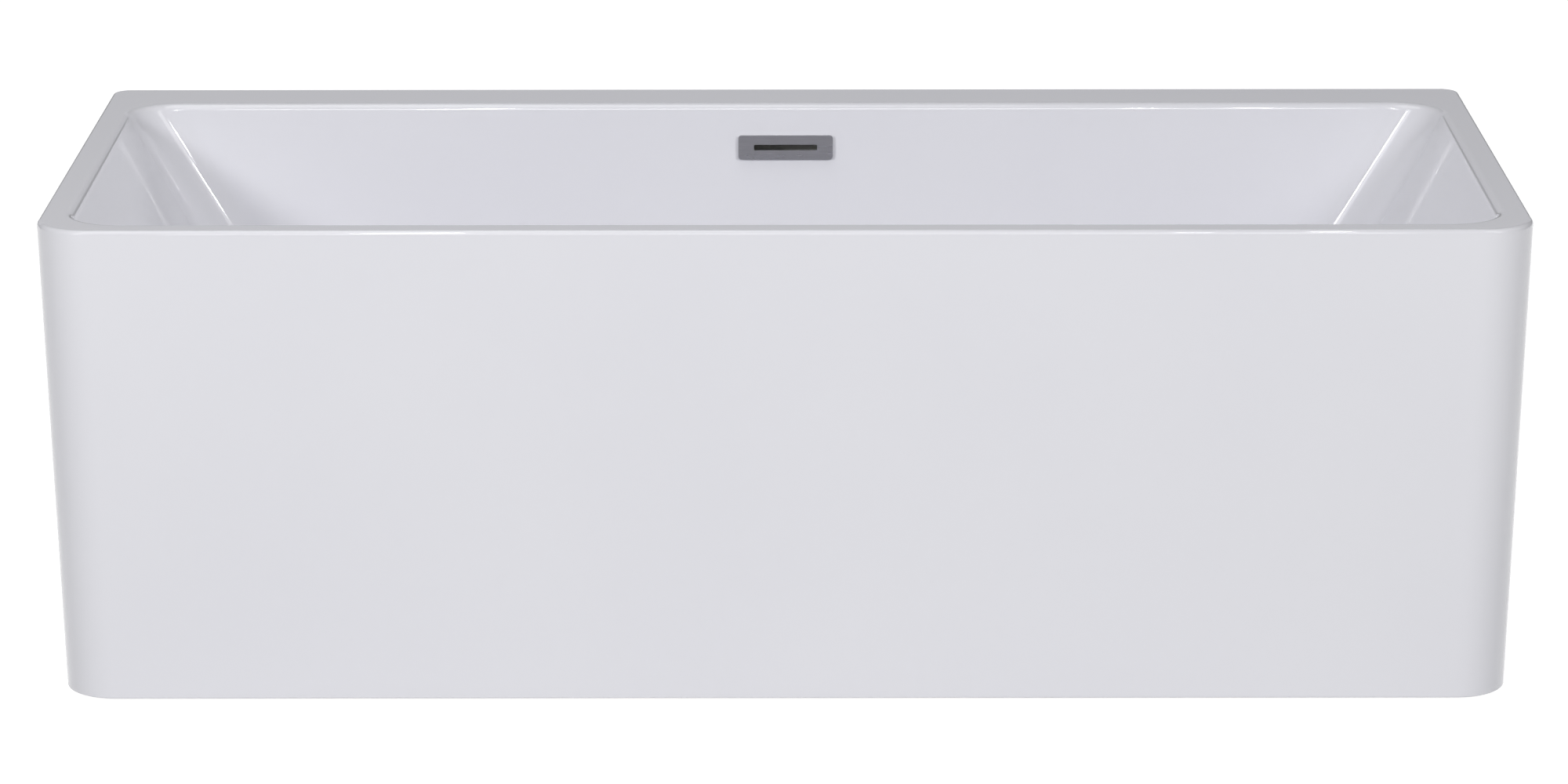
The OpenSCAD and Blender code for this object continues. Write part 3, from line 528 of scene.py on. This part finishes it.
def screw_finish():
    """Bright zinc plate with a thin yellow-blue passivation."""
    made, tree, shader = start_finish("bright_zinc_plate")
    tint = grain(tree, 120, 3)
    colour = tones(
        tree,
        tint,
        (0.3, (0.60, 0.60, 0.55)),
        (0.5, (0.66, 0.67, 0.66)),
        (0.7, (0.60, 0.64, 0.68)),
    )
    rubbed = grain(tree, 900, 3)
    join(
        tree,
        shader,
        Base_Color=colour,
        Metallic=1.0,
        Roughness=spread(tree, rubbed, 0.3, 0.7, 0.22, 0.38),
        Normal=relief(tree, rubbed, 0.00002),
    )
    return made


def wire_finish():
    """Drawn spring wire."""
    made, tree, shader = start_finish("drawn_spring_wire")
    drawn = grain(tree, 1500, 2, (1, 1, 0.1))
    join(
        tree,
        shader,
        Base_Color=tones(tree, drawn, (0.3, (0.28, 0.28, 0.29)), (0.7, (0.46, 0.46, 0.47))),
        Metallic=1.0,
        Roughness=spread(tree, drawn, 0.3, 0.7, 0.25, 0.4),
        Normal=relief(tree, drawn, 0.00002),
    )
    return made


def moulded_finish(name, dark, light, roughness, pebble, depth, shine=0.5):
    """Moulded plastic or rubber: two near tones, and a fine grain from its mould."""
    made, tree, shader = start_finish(name)
    cloud = grain(tree, 14, 5, rough=0.6)
    skin = grain(tree, pebble, 3)
    join(
        tree,
        shader,
        Base_Color=tones(tree, cloud, (0.3, dark), (0.7, light)),
        Roughness=spread(tree, cloud, 0.3, 0.7, roughness - 0.06, roughness + 0.08),
        Normal=relief(tree, skin, depth),
        Specular_IOR_Level=shine,
    )
    return made


def brushed_chrome_finish():
    """Satin chrome, brushed along the cover."""
    made, tree, shader = start_finish("brushed_chrome")
    strokes = grain(tree, 1400, 3, (0.02, 1, 1), rough=0.7)
    broad = grain(tree, 90, 3, (0.12, 1, 1))
    join(
        tree,
        shader,
        Base_Color=tones(tree, strokes, (0.3, (0.53, 0.525, 0.55)), (0.7, (0.60, 0.595, 0.62))),
        Metallic=1.0,
        Roughness=spread(tree, broad, 0.3, 0.7, 0.26, 0.36),
        Normal=relief(tree, strokes, 0.00001),
        Anisotropic=0.5,
    )
    return made


def chrome_finish():
    """Polished chrome with dried water spots."""
    made, tree, shader = start_finish("polished_chrome")
    spots = cells(tree, 160)
    film = grain(tree, 60, 4)
    spotted = spread(tree, spots, 0.1, 0.3, 0.09, 0)
    hazed = sums(tree, spotted, spread(tree, film, 0.4, 0.7, 0.04, 0.1))
    join(
        tree,
        shader,
        Base_Color=tones(tree, film, (0.3, (0.62, 0.62, 0.64)), (0.7, (0.68, 0.68, 0.70))),
        Metallic=1.0,
        Roughness=hazed,
        Normal=relief(tree, film, 0.00001),
    )
    return made


def brass_finish():
    """Turned brass, dulled a little."""
    made, tree, shader = start_finish("turned_brass")
    turned = grain(tree, 1200, 2, (0.1, 0.1, 1))
    tarnish = grain(tree, 110, 4)
    join(
        tree,
        shader,
        Base_Color=tones(tree, tarnish, (0.3, (0.48, 0.32, 0.12)), (0.7, (0.72, 0.53, 0.24))),
        Metallic=1.0,
        Roughness=spread(tree, tarnish, 0.3, 0.7, 0.2, 0.4),
        Normal=relief(tree, turned, 0.00002),
    )
    return made


FINISHES = {
    "acrylic": acrylic_finish(),
    "fibreglass": fibreglass_finish(),
    "plywood": plywood_finish(),
    "timber": timber_finish(),
    "zinc_steel": galvanised_finish(),
    "screw_steel": screw_finish(),
    "spring_steel": wire_finish(),
    "black_plastic": moulded_finish(
        "black_moulded_plastic", (0.018, 0.018, 0.02), (0.034, 0.034, 0.036), 0.45, 900, 0.00004
    ),
    "foot_rubber": moulded_finish(
        "foot_rubber", (0.022, 0.022, 0.024), (0.05, 0.049, 0.048), 0.68, 1300, 0.00008, 0.35
    ),
    "rubber": moulded_finish(
        "seal_rubber", (0.02, 0.02, 0.021), (0.036, 0.036, 0.037), 0.6, 700, 0.00003, 0.4
    ),
    "brushed_chrome": brushed_chrome_finish(),
    "chrome": chrome_finish(),
    "grey_plastic": moulded_finish(
        "grey_moulded_plastic", (0.46, 0.46, 0.48), (0.56, 0.56, 0.58), 0.4, 800, 0.00003
    ),
    "white_plastic": moulded_finish(
        "white_pipe_plastic", (0.80, 0.80, 0.785), (0.87, 0.87, 0.855), 0.32, 500, 0.00003
    ),
    "brass": brass_finish(),
}

# ---------- Tub ----------

CORNER_STEPS = 24
FOOT_STEPS = 14
ROLL_STEPS = 8
EDGE_STEPS = 6
DISH_STEPS = 8
WASTE_HOLE_R = 0.026
DISH_SEAT_R = 0.048
DISH_R = 0.078
DISH_DEPTH = 0.004
RING_POINTS = 4 * (CORNER_STEPS + 1)


def dish_rings(skin, steps, runs=(0, 0)):
    """Circles from the waste hole out over the dish's soft edge."""
    at = (0, WASTE_Y)
    count = 4 * (steps + 1) + 2 * sum(runs)
    front_middle = steps + (runs[0] + 1) / 2
    low = FLOOR_Z - DISH_DEPTH - skin
    rings = [circle_points(WASTE_HOLE_R, low, count, at, front_middle)]
    for i in range(DISH_STEPS + 1):
        share = i / DISH_STEPS
        r = DISH_SEAT_R + (DISH_R - DISH_SEAT_R) * share
        rise = DISH_DEPTH * (1 - math.cos(math.pi * share)) / 2
        rings.append(circle_points(r, low + rise, count, at, front_middle))
    return rings


def basin_rings(skin, steps=CORNER_STEPS, runs=(0, 0), floor_steps=0, wall_steps=0):
    """All rings of the basin, from the waste outward and up to the rim."""
    foot = foot_levels(skin, FOOT_STEPS)
    roll = roll_levels(skin, ROLL_STEPS)
    rise = (roll[0] - foot[-1]) / (wall_steps + 1)
    wall = [foot[-1] + rise * (i + 1) for i in range(wall_steps)]
    dish = dish_rings(skin, steps, runs)
    walls = [basin_ring(skin, z, steps, runs) for z in foot + wall + roll]
    floor = [
        [a.lerp(b, (i + 1) / (floor_steps + 1)) for a, b in zip(dish[-1], walls[0])]
        for i in range(floor_steps)
    ]
    return dish + floor + walls


def rim_edge_rings():
    """The rounded outer edge of the rim, its turned-down lip, and back up inside the lip."""
    rings = []
    for i in range(EDGE_STEPS + 1):
        a = math.pi / 2 * i / EDGE_STEPS
        inset = RIM_EDGE_R * (1 - math.sin(a))
        rings.append(rim_ring(inset, RIM_HEIGHT - RIM_EDGE_R * (1 - math.cos(a)), CORNER_STEPS))
    for inset in (0, ACRYLIC_T):
        rings.append(rim_ring(inset, SKIRT_TOP, CORNER_STEPS, lean=lean_in(SKIRT_TOP)))
    rings.append(rim_ring(ACRYLIC_T, RIM_HEIGHT - RIM_EDGE_R, CORNER_STEPS))
    rings.append(rim_ring(RIM_EDGE_R, RIM_HEIGHT - ACRYLIC_T, CORNER_STEPS))
    return rings


OPENING_W = 0.084
OPENING_H = 0.014
OPENING_REACH = 0.02
COVER_DROP = 0.054
COVER_Z = RIM_HEIGHT - COVER_DROP
OVERFLOW_UP = Vector((0, math.sin(SIDE_LEAN), math.cos(SIDE_LEAN)))
OVERFLOW_OUT = Vector((0, math.cos(SIDE_LEAN), -math.sin(SIDE_LEAN)))
ACROSS = Vector((1, 0, 0))
OVERFLOW_PLACE = Vector((0, HALF_WIDTH - REAR_LEDGE - wall_inset(SIDE_LEAN, 0, COVER_Z), COVER_Z))


def over_opening(face):
    """Whether a face of the rear wall reaches over the overflow's opening."""
    places = [v.co - OVERFLOW_PLACE for v in face.verts]
    for axis, half in (
        (ACROSS, OPENING_W / 2),
        (OVERFLOW_UP, OPENING_H / 2),
        (OVERFLOW_OUT, OPENING_REACH),
    ):
        along = [p.dot(axis) for p in places]
        if min(along) > half - TOUCHING or max(along) < TOUCHING - half:
            return False
    return True


def cut_overflow_opening(bm):
    """Cuts the overflow's opening through both faces of the rear wall and joins its edges."""
    for axis, half in ((ACROSS, OPENING_W / 2), (OVERFLOW_UP, OPENING_H / 2)):
        for side in (-1, 1):
            near = [f for f in bm.faces if over_opening(f)]
            around = {v for f in near for v in f.verts} | {e for f in near for e in f.edges}
            bmesh.ops.bisect_plane(
                bm,
                geom=near + list(around),
                plane_co=OVERFLOW_PLACE + axis * (side * half),
                plane_no=axis,
            )
    inside = [f for f in bm.faces if over_opening(f)]
    bmesh.ops.delete(bm, geom=inside, context="FACES")
    bmesh.ops.bridge_loops(bm, edges=[e for e in bm.edges if e.is_boundary])


def make_tub():
    rings = basin_rings(0) + rim_edge_rings() + list(reversed(basin_rings(ACRYLIC_T)))
    bm, last = skin_through(rings)
    bmesh.ops.bridge_loops(bm, edges=last + ring_edges(bm, RING_POINTS))
    cut_overflow_opening(bm)
    bmesh.ops.recalc_face_normals(bm, faces=bm.faces)
    tub = finished("tub_shell", bm, FINISHES["acrylic"], ["inner_tub"])
    even_shading(tub)


# ---------- Skirt ----------

SKIRT_BEVEL = 0.002
SKIRT_ARRIS = 0.5


def skirt_path(inset, z, steps, runs=(0, 0)):
    """The skirt's path at height z, from its left return round the front to its right one."""
    ring = rim_ring(inset, z, steps, runs, lean_in(z))
    start = 3 * (steps + 1) + 2 * runs[0] + runs[1]
    run = ring[start : start + steps + 1] + ring[start + steps + 1 :] + ring[:start]
    rear_run = runs[0]
    if rear_run:
        run = run[: len(run) - rear_run]
    return_x = HALF_LENGTH - lean_in(z) - WALL_RETURN
    rear = HALF_WIDTH - inset
    return [Vector((-return_x, rear, z))] + run + [Vector((return_x, rear, z))]


def face_outward(bm):
    """Turns an open skirt wall's faces to the outside of the bath."""
    bmesh.ops.recalc_face_normals(bm, faces=bm.faces)
    if sum(f.normal.y for f in bm.faces if f.calc_center_median().y < 0) > 0:
        bmesh.ops.reverse_faces(bm, faces=bm.faces)


def make_skirt():
    levels = [SKIRT_TOP, SKIRT_FOOT]
    bm, _ = skin_through([skirt_path(0, z, CORNER_STEPS) for z in levels], closed=False)
    face_outward(bm)
    bmesh.ops.solidify(bm, geom=bm.faces, thickness=ACRYLIC_T)
    foot = [
        e
        for e in bm.edges
        if all(abs(v.co.z - SKIRT_FOOT) < TOUCHING for v in e.verts) and e.calc_face_angle(0) > SKIRT_ARRIS
    ]
    bmesh.ops.bevel(
        bm, geom=foot, offset=SKIRT_BEVEL, segments=4, profile=0.5, affect="EDGES", material=-1
    )
    skirt = finished("skirt_shell", bm, FINISHES["acrylic"], ["outer_skirt"])
    even_shading(skirt)


# ---------- Fibreglass ----------

LAMINATE_STEPS = 8
LAMINATE_RUNS = (60, 26)
LAMINATE_FLOOR_STEPS = 5
LAMINATE_WALL_STEPS = 22
LAMINATE_FACE = ACRYLIC_T + GLUE_LINE
LAMINATE_T = SHELL_T - LAMINATE_FACE
LAMINATE_EDGE = SHELL_T + 0.004
LAMINATE_DIPS = 0.0016
SKIRT_LAMINATE_LEVELS = 26
SKIRT_LAMINATE_FOOT = SKIRT_FOOT + 0.020
SKIRT_LAMINATE_TOP = RIM_HEIGHT - RIM_EDGE_R - 0.001


def roll_down(verts, into):
    """Presses a laminate's rough side in unevenly, as a roller leaves it."""
    for vert in verts:
        place = vert.co
        broad = noise.noise(place * 9)
        fine = noise.noise(place * 34 + Vector((5, 0, 0)))
        vert.co += into(vert) * LAMINATE_DIPS * (0.5 + 0.35 * broad + 0.3 * fine)


def make_tub_laminate():
    shape = (LAMINATE_STEPS, LAMINATE_RUNS, LAMINATE_FLOOR_STEPS, LAMINATE_WALL_STEPS)
    face = basin_rings(LAMINATE_FACE, *shape)
    back = basin_rings(SHELL_T, *shape)
    edges = [
        rim_ring(LAMINATE_EDGE, RIM_HEIGHT - skin, LAMINATE_STEPS, LAMINATE_RUNS)
        for skin in (LAMINATE_FACE, SHELL_T)
    ]
    count = len(face[0])
    bm, last = skin_through(face + edges + list(reversed(back)))
    bmesh.ops.bridge_loops(bm, edges=last + ring_edges(bm, count))
    bmesh.ops.recalc_face_normals(bm, faces=bm.faces)
    bm.verts.ensure_lookup_table()
    rough = bm.verts[count * (len(face) + 3) : count * (len(face) + 1 + len(back) - 1)]
    bm.normal_update()
    into = {v: -v.normal.copy() for v in rough}
    roll_down(rough, into.get)
    cut_overflow_opening(bm)
    bmesh.ops.recalc_face_normals(bm, faces=bm.faces)
    finished("tub_laminate", bm, FINISHES["fibreglass"], ["tub_backing"])


def make_skirt_laminate():
    rise = (SKIRT_LAMINATE_TOP - SKIRT_LAMINATE_FOOT) / SKIRT_LAMINATE_LEVELS
    levels = [SKIRT_LAMINATE_TOP - rise * i for i in range(SKIRT_LAMINATE_LEVELS + 1)]
    paths = [skirt_path(LAMINATE_FACE, z, LAMINATE_STEPS, LAMINATE_RUNS) for z in levels]
    bm, _ = skin_through(paths, closed=False)
    outside = set(bm.verts)
    face_outward(bm)
    bmesh.ops.solidify(bm, geom=bm.faces, thickness=LAMINATE_T)
    bmesh.ops.recalc_face_normals(bm, faces=bm.faces)
    bm.normal_update()
    rough = [v for v in bm.verts if v not in outside and not v.is_boundary]
    edge = {e.other_vert(v) for v in outside for e in v.link_edges}
    rough = [v for v in rough if v not in edge]
    into = {v: -v.normal.copy() for v in rough}
    roll_down(rough, into.get)
    finished("skirt_laminate", bm, FINISHES["fibreglass"], ["skirt_backing"])


# ---------- Levelling feet ----------

FEET = ("front_left", "front_middle", "front_right", "rear_left", "rear_right")
STUD_R = 0.005
THREAD_PITCH = 0.0015
THREAD_DEPTH = 0.0008
THREAD_STEPS = 24
THREAD_CREST = (0.4, 0.55)
THREAD_SUNK = 0.0005
STUD_FLANGE_H = 0.004
STUD_FLANGE_EASE = 0.0006
PAD_EDGE_R = 0.0015
PAD_BRIM_H = 0.005
PAD_CROWN_R = 0.015
PAD_TREAD_R = 0.0125
PAD_HOLLOW_R = 0.012
PAD_HOLLOW_H = 0.0008
SOCKET_MOUTH_R = 0.0053
SOCKET_R = 0.0081
SOCKET_ROOF_Z = 0.009
LATHE_STEPS = 64
SPANNER_R = 0.007 / math.cos(math.radians(30))
SPANNER_H = 0.007
SPANNER_Z = 0.015
FLATS_EASE = 0.0005


def outline(bm, points):
    """An open line of edges through points, each (radius, height)."""
    verts = [bmesh.ops.create_vert(bm, co=(r, 0, z))["vert"][0] for r, z in points]
    edges = [bm.edges.new(pair) for pair in zip(verts, verts[1:])]
    return verts + edges


def turned(bm, points, at, steps=LATHE_STEPS):
    """A closed turned shape about the upright axis through at."""
    geom = outline(bm, points)
    bmesh.ops.spin(
        bm,
        geom=geom,
        cent=(0, 0, 0),
        axis=(0, 0, 1),
        angle=2 * math.pi,
        steps=steps,
        use_merge=True,
    )
    bmesh.ops.remove_doubles(bm, verts=bm.verts, dist=TOUCHING)
    bmesh.ops.translate(bm, verts=bm.verts, vec=(at.x, at.y, 0))


def eased_corner(r, z, ease, start, steps=4):
    """A rounded corner of an outline, from angle start in degrees and a quarter on."""
    turns = [math.radians(start + 90 * i / steps) for i in range(steps + 1)]
    return [(r + ease * math.cos(a), z + ease * math.sin(a)) for a in turns]


def make_foot_pad(foot):
    """A moulded pad: a shallow hollow underneath inside its tread, with a socket that holds the stud's
    end.
    """
    node = foot + "_foot_pad"
    low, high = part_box(node)
    at = (low + high) / 2
    pad_r = (high.x - low.x) / 2
    top = high.z
    bm = bmesh.new()
    side = eased_corner(pad_r - PAD_EDGE_R, PAD_EDGE_R, PAD_EDGE_R, -90)
    side += eased_corner(pad_r - PAD_EDGE_R, PAD_BRIM_H - PAD_EDGE_R, PAD_EDGE_R, 0)
    crown = eased_corner(PAD_CROWN_R - PAD_EDGE_R, top - PAD_EDGE_R, PAD_EDGE_R, 0)
    hollow = [(0, PAD_HOLLOW_H), (PAD_HOLLOW_R, PAD_HOLLOW_H), (PAD_TREAD_R, 0)]
    socket = [
        (SOCKET_MOUTH_R, top),
        (SOCKET_MOUTH_R, SOCKET_ROOF_Z),
        (SOCKET_R, SOCKET_ROOF_Z),
        (SOCKET_R, PAD_BRIM_H),
        (0, PAD_BRIM_H),
    ]
    turned(bm, hollow + side + crown + socket, at)
    bmesh.ops.recalc_face_normals(bm, faces=bm.faces)
    rubber = FINISHES["foot_rubber"]
    pad = finished(node + "_moulding", bm, rubber, [node], body_of(node))
    even_shading(pad)


def make_foot_stud(foot):
    """A rolled thread on a flanged end, with flats for a spanner."""
    node = foot + "_foot_stud"
    low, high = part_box(node)
    at = (low + high) / 2
    flange_r = (high.y - low.y) / 2
    start = low.z + STUD_FLANGE_H
    root_r = STUD_R - THREAD_DEPTH
    bm = bmesh.new()
    teeth = math.ceil((high.z - start) / THREAD_PITCH) + 3
    z = start - 2 * THREAD_PITCH
    points = []
    for tooth in range(teeth):
        at_z = z + tooth * THREAD_PITCH
        points.append((root_r, at_z))
        points += [(STUD_R, at_z + part * THREAD_PITCH) for part in THREAD_CREST]
    rise = THREAD_PITCH / THREAD_STEPS
    bmesh.ops.spin(
        bm,
        geom=outline(bm, points),
        cent=(0, 0, 0),
        axis=(0, 0, 1),
        dvec=(0, 0, rise),
        angle=2 * math.pi,
        steps=THREAD_STEPS,
    )
    bmesh.ops.remove_doubles(bm, verts=bm.verts, dist=TOUCHING)
    for level, way in ((start - THREAD_SUNK, -1), (high.z, 1)):
        whole = list(bm.verts) + list(bm.edges) + list(bm.faces)
        bmesh.ops.bisect_plane(
            bm, geom=whole, plane_co=(0, 0, level), plane_no=(0, 0, way), clear_outer=True
        )
    bmesh.ops.holes_fill(bm, edges=[e for e in bm.edges if e.is_boundary], sides=0)
    bmesh.ops.recalc_face_normals(bm, faces=bm.faces)
    flange = bmesh.new()
    rim_r = flange_r - STUD_FLANGE_EASE
    rim = eased_corner(rim_r, low.z + STUD_FLANGE_EASE, STUD_FLANGE_EASE, -90)
    rim += eased_corner(rim_r, start - STUD_FLANGE_EASE, STUD_FLANGE_EASE, 0)
    turned(flange, [(0, low.z), *rim, (0, start)], Vector((0, 0, 0)))
    bmesh.ops.recalc_face_normals(flange, faces=flange.faces)
    flats = bmesh.ops.create_cone(
        flange, cap_ends=True, segments=6, radius1=SPANNER_R, radius2=SPANNER_R, depth=SPANNER_H
    )["verts"]
    quarter_turn = Matrix.Rotation(math.radians(90), 3, "Z")
    bmesh.ops.rotate(flange, verts=flats, matrix=quarter_turn)
    bmesh.ops.translate(flange, verts=flats, vec=(0, 0, SPANNER_Z + SPANNER_H / 2))
    corners = {e for v in flats for e in v.link_edges}
    bmesh.ops.bevel(
        flange,
        geom=list(corners),
        offset=FLATS_EASE,
        segments=2,
        profile=0.5,
        affect="EDGES",
        material=-1,
    )
    joined = bpy.data.meshes.new("joined")
    flange.to_mesh(joined)
    flange.free()
    bm.from_mesh(joined)
    bpy.data.meshes.remove(joined)
    bmesh.ops.translate(bm, verts=bm.verts, vec=(at.x, at.y, 0))
    steel = FINISHES["screw_steel"]
    stud = finished(node + "_threaded", bm, steel, [node], body_of(node))
    even_shading(stud)


# ---------- CAD nodes with a finish of their own ----------

EASED_NODES = {
    "front_rail": 0.0011,
    "rear_rail": 0.0011,
    "left_rail": 0.0011,
    "right_rail": 0.0011,
    "left_cross_member": 0.0008,
    "right_cross_member": 0.0008,
    "rear_left_post": 0.0009,
    "rear_right_post": 0.0009,
    "rail_end_caps": 0.0008,
    "base_board": 0.0012,
    "rear_rim_batten": 0.0018,
    "skirt_blocks": 0.0015,
    "skirt_brackets": 0.0007,
}
LONG_EDGE = 0.006
CREASE = math.radians(40)


def make_eased(name, width):
    """A copy of a CAD node whose long arrises are rounded over."""
    row = next(row for row in frame["record"]["subparts"] if row["node"] == name)
    bm = bmesh.new()
    bm.from_mesh(frame["nodes"][name].data)
    bmesh.ops.remove_doubles(bm, verts=bm.verts, dist=TOUCHING)
    bmesh.ops.dissolve_limit(bm, angle_limit=math.radians(1), verts=bm.verts, edges=bm.edges)
    arrises = [
        e
        for e in bm.edges
        if e.calc_length() > LONG_EDGE and e.is_manifold and e.calc_face_angle(0) > CREASE
    ]
    bmesh.ops.bevel(
        bm,
        geom=arrises,
        offset=width,
        segments=3,
        profile=0.5,
        affect="EDGES",
        material=-1,
        clamp_overlap=False,
    )
    slot = row["material_slot"]
    eased = finished(name + "_eased", bm, FINISHES[slot], [name], body_of(name))
    even_shading(eased)


def finish_cad_nodes():
    for row in frame["record"]["subparts"]:
        node = frame["nodes"][row["node"]]
        finish = FINISHES[row["material_slot"]]
        if not node.material_slots:
            node.data.materials.append(finish)
        for place in node.material_slots:
            place.material = finish


make_tub()
make_skirt()
make_tub_laminate()
make_skirt_laminate()
for foot in FEET:
    make_foot_pad(foot)
    make_foot_stud(foot)
for name, width in EASED_NODES.items():
    make_eased(name, width)
finish_cad_nodes()

# ---------- Floor and light ----------


def floor_sheet(name, z, glow, seen):
    """A level sheet that glows; the seen one is for the eye and for gloss, the other for bounce."""
    bm = bmesh.new()
    bmesh.ops.create_grid(bm, x_segments=1, y_segments=1, size=30)
    bmesh.ops.translate(bm, verts=bm.verts, vec=(0, 0, z))
    mesh = bpy.data.meshes.new(name)
    bm.to_mesh(mesh)
    bm.free()
    made, tree, shader = start_finish(name)
    cloud = grain(tree, 0.8, 3)
    join(
        tree,
        shader,
        Base_Color=tones(tree, cloud, (0.3, (0.44, 0.44, 0.45)), (0.7, (0.46, 0.46, 0.47))),
        Roughness=0.9,
        Specular_IOR_Level=0.1,
        Emission_Color=(1, 1, 1, 1),
        Emission_Strength=glow,
    )
    mesh.materials.append(made)
    floor = bpy.data.objects.new(name, mesh)
    floor.visible_camera = seen
    floor.visible_glossy = seen
    floor.visible_diffuse = not seen
    scene.collection.objects.link(floor)


def soft_light(name, place, aim, size, power, in_gloss=True, in_colour=True, tint=(1, 1, 1)):
    """A rectangular soft light that faces its aim, for gloss, for colour or for both."""
    data = bpy.data.lights.new(name, "AREA")
    data.shape = "RECTANGLE"
    data.size, data.size_y = size
    data.energy = power
    data.color = tint
    light = bpy.data.objects.new(name, data)
    light.location = place
    away = Vector(place) - Vector(aim)
    light.rotation_mode = "QUATERNION"
    light.rotation_quaternion = away.to_track_quat("Z", "Y")
    light.visible_glossy = in_gloss
    light.visible_diffuse = in_colour
    scene.collection.objects.link(light)


def corner_streak(name, start, turn, rise, away, size, power):
    """A light seen only in gloss, away metres from a place on a basin corner."""
    level = math.cos(math.radians(rise))
    along = math.radians(turn)
    height = math.sin(math.radians(rise))
    towards = Vector((level * math.sin(along), -level * math.cos(along), height))
    place = Vector(start) + towards * away
    soft_light(name, place, start, size, power, in_colour=False)


floor_sheet("studio_floor", 0, 0.9, True)
floor_sheet("studio_bounce", -0.002, 0.25, False)
world = bpy.data.worlds.new("studio_air")
world.use_nodes = True
world.node_tree.nodes["Background"].inputs["Color"].default_value = (1, 1, 1, 1)
world.node_tree.nodes["Background"].inputs["Strength"].default_value = 0.14
scene.world = world
AIM = (0, 0, 0.4)
soft_light("front_light", (0, -6.0, 3.8), AIM, (3.0, 1.6), 58)
soft_light("right_light", (3.4, -5.5, 3.4), AIM, (1.6, 1.6), 138, in_gloss=False)
soft_light("left_light", (-3.2, -4.6, 2.4), AIM, (0.7, 0.7), 95, in_gloss=False)
soft_light("top_light", (-0.6, -0.4, 3.4), AIM, (2.4, 1.6), 20)
soft_light("back_light", (0, 4.0, 1.6), (0, 0, 0.5), (7, 1.2), 24, in_gloss=False)
soft_light(
    "rim_glow",
    (-0.6, 4.0, 1.6),
    (-0.4, 0, 0.5),
    (7, 1.2),
    10,
    in_colour=False,
    tint=(0.93, 0.93, 1.0),
)
corner_streak("left_streak", (-0.74, 0.27, 0.49), 56, 27, 3, (0.5, 1.6), 5)
corner_streak("left_glint_high", (-0.757, 0.275, 0.522), 46, 25.5, 2, (0.07, 0.04), 0.5)
corner_streak("left_glint_low", (-0.717, 0.266, 0.452), 53, 27, 2, (0.07, 0.08), 0.9)
corner_streak("right_streak", (0.74, 0.27, 0.49), -49, 25, 3, (0.4, 1.6), 6)
corner_streak("right_glint", (0.74, 0.27, 0.49), -43, 25, 2, (0.06, 0.4), 2.5)
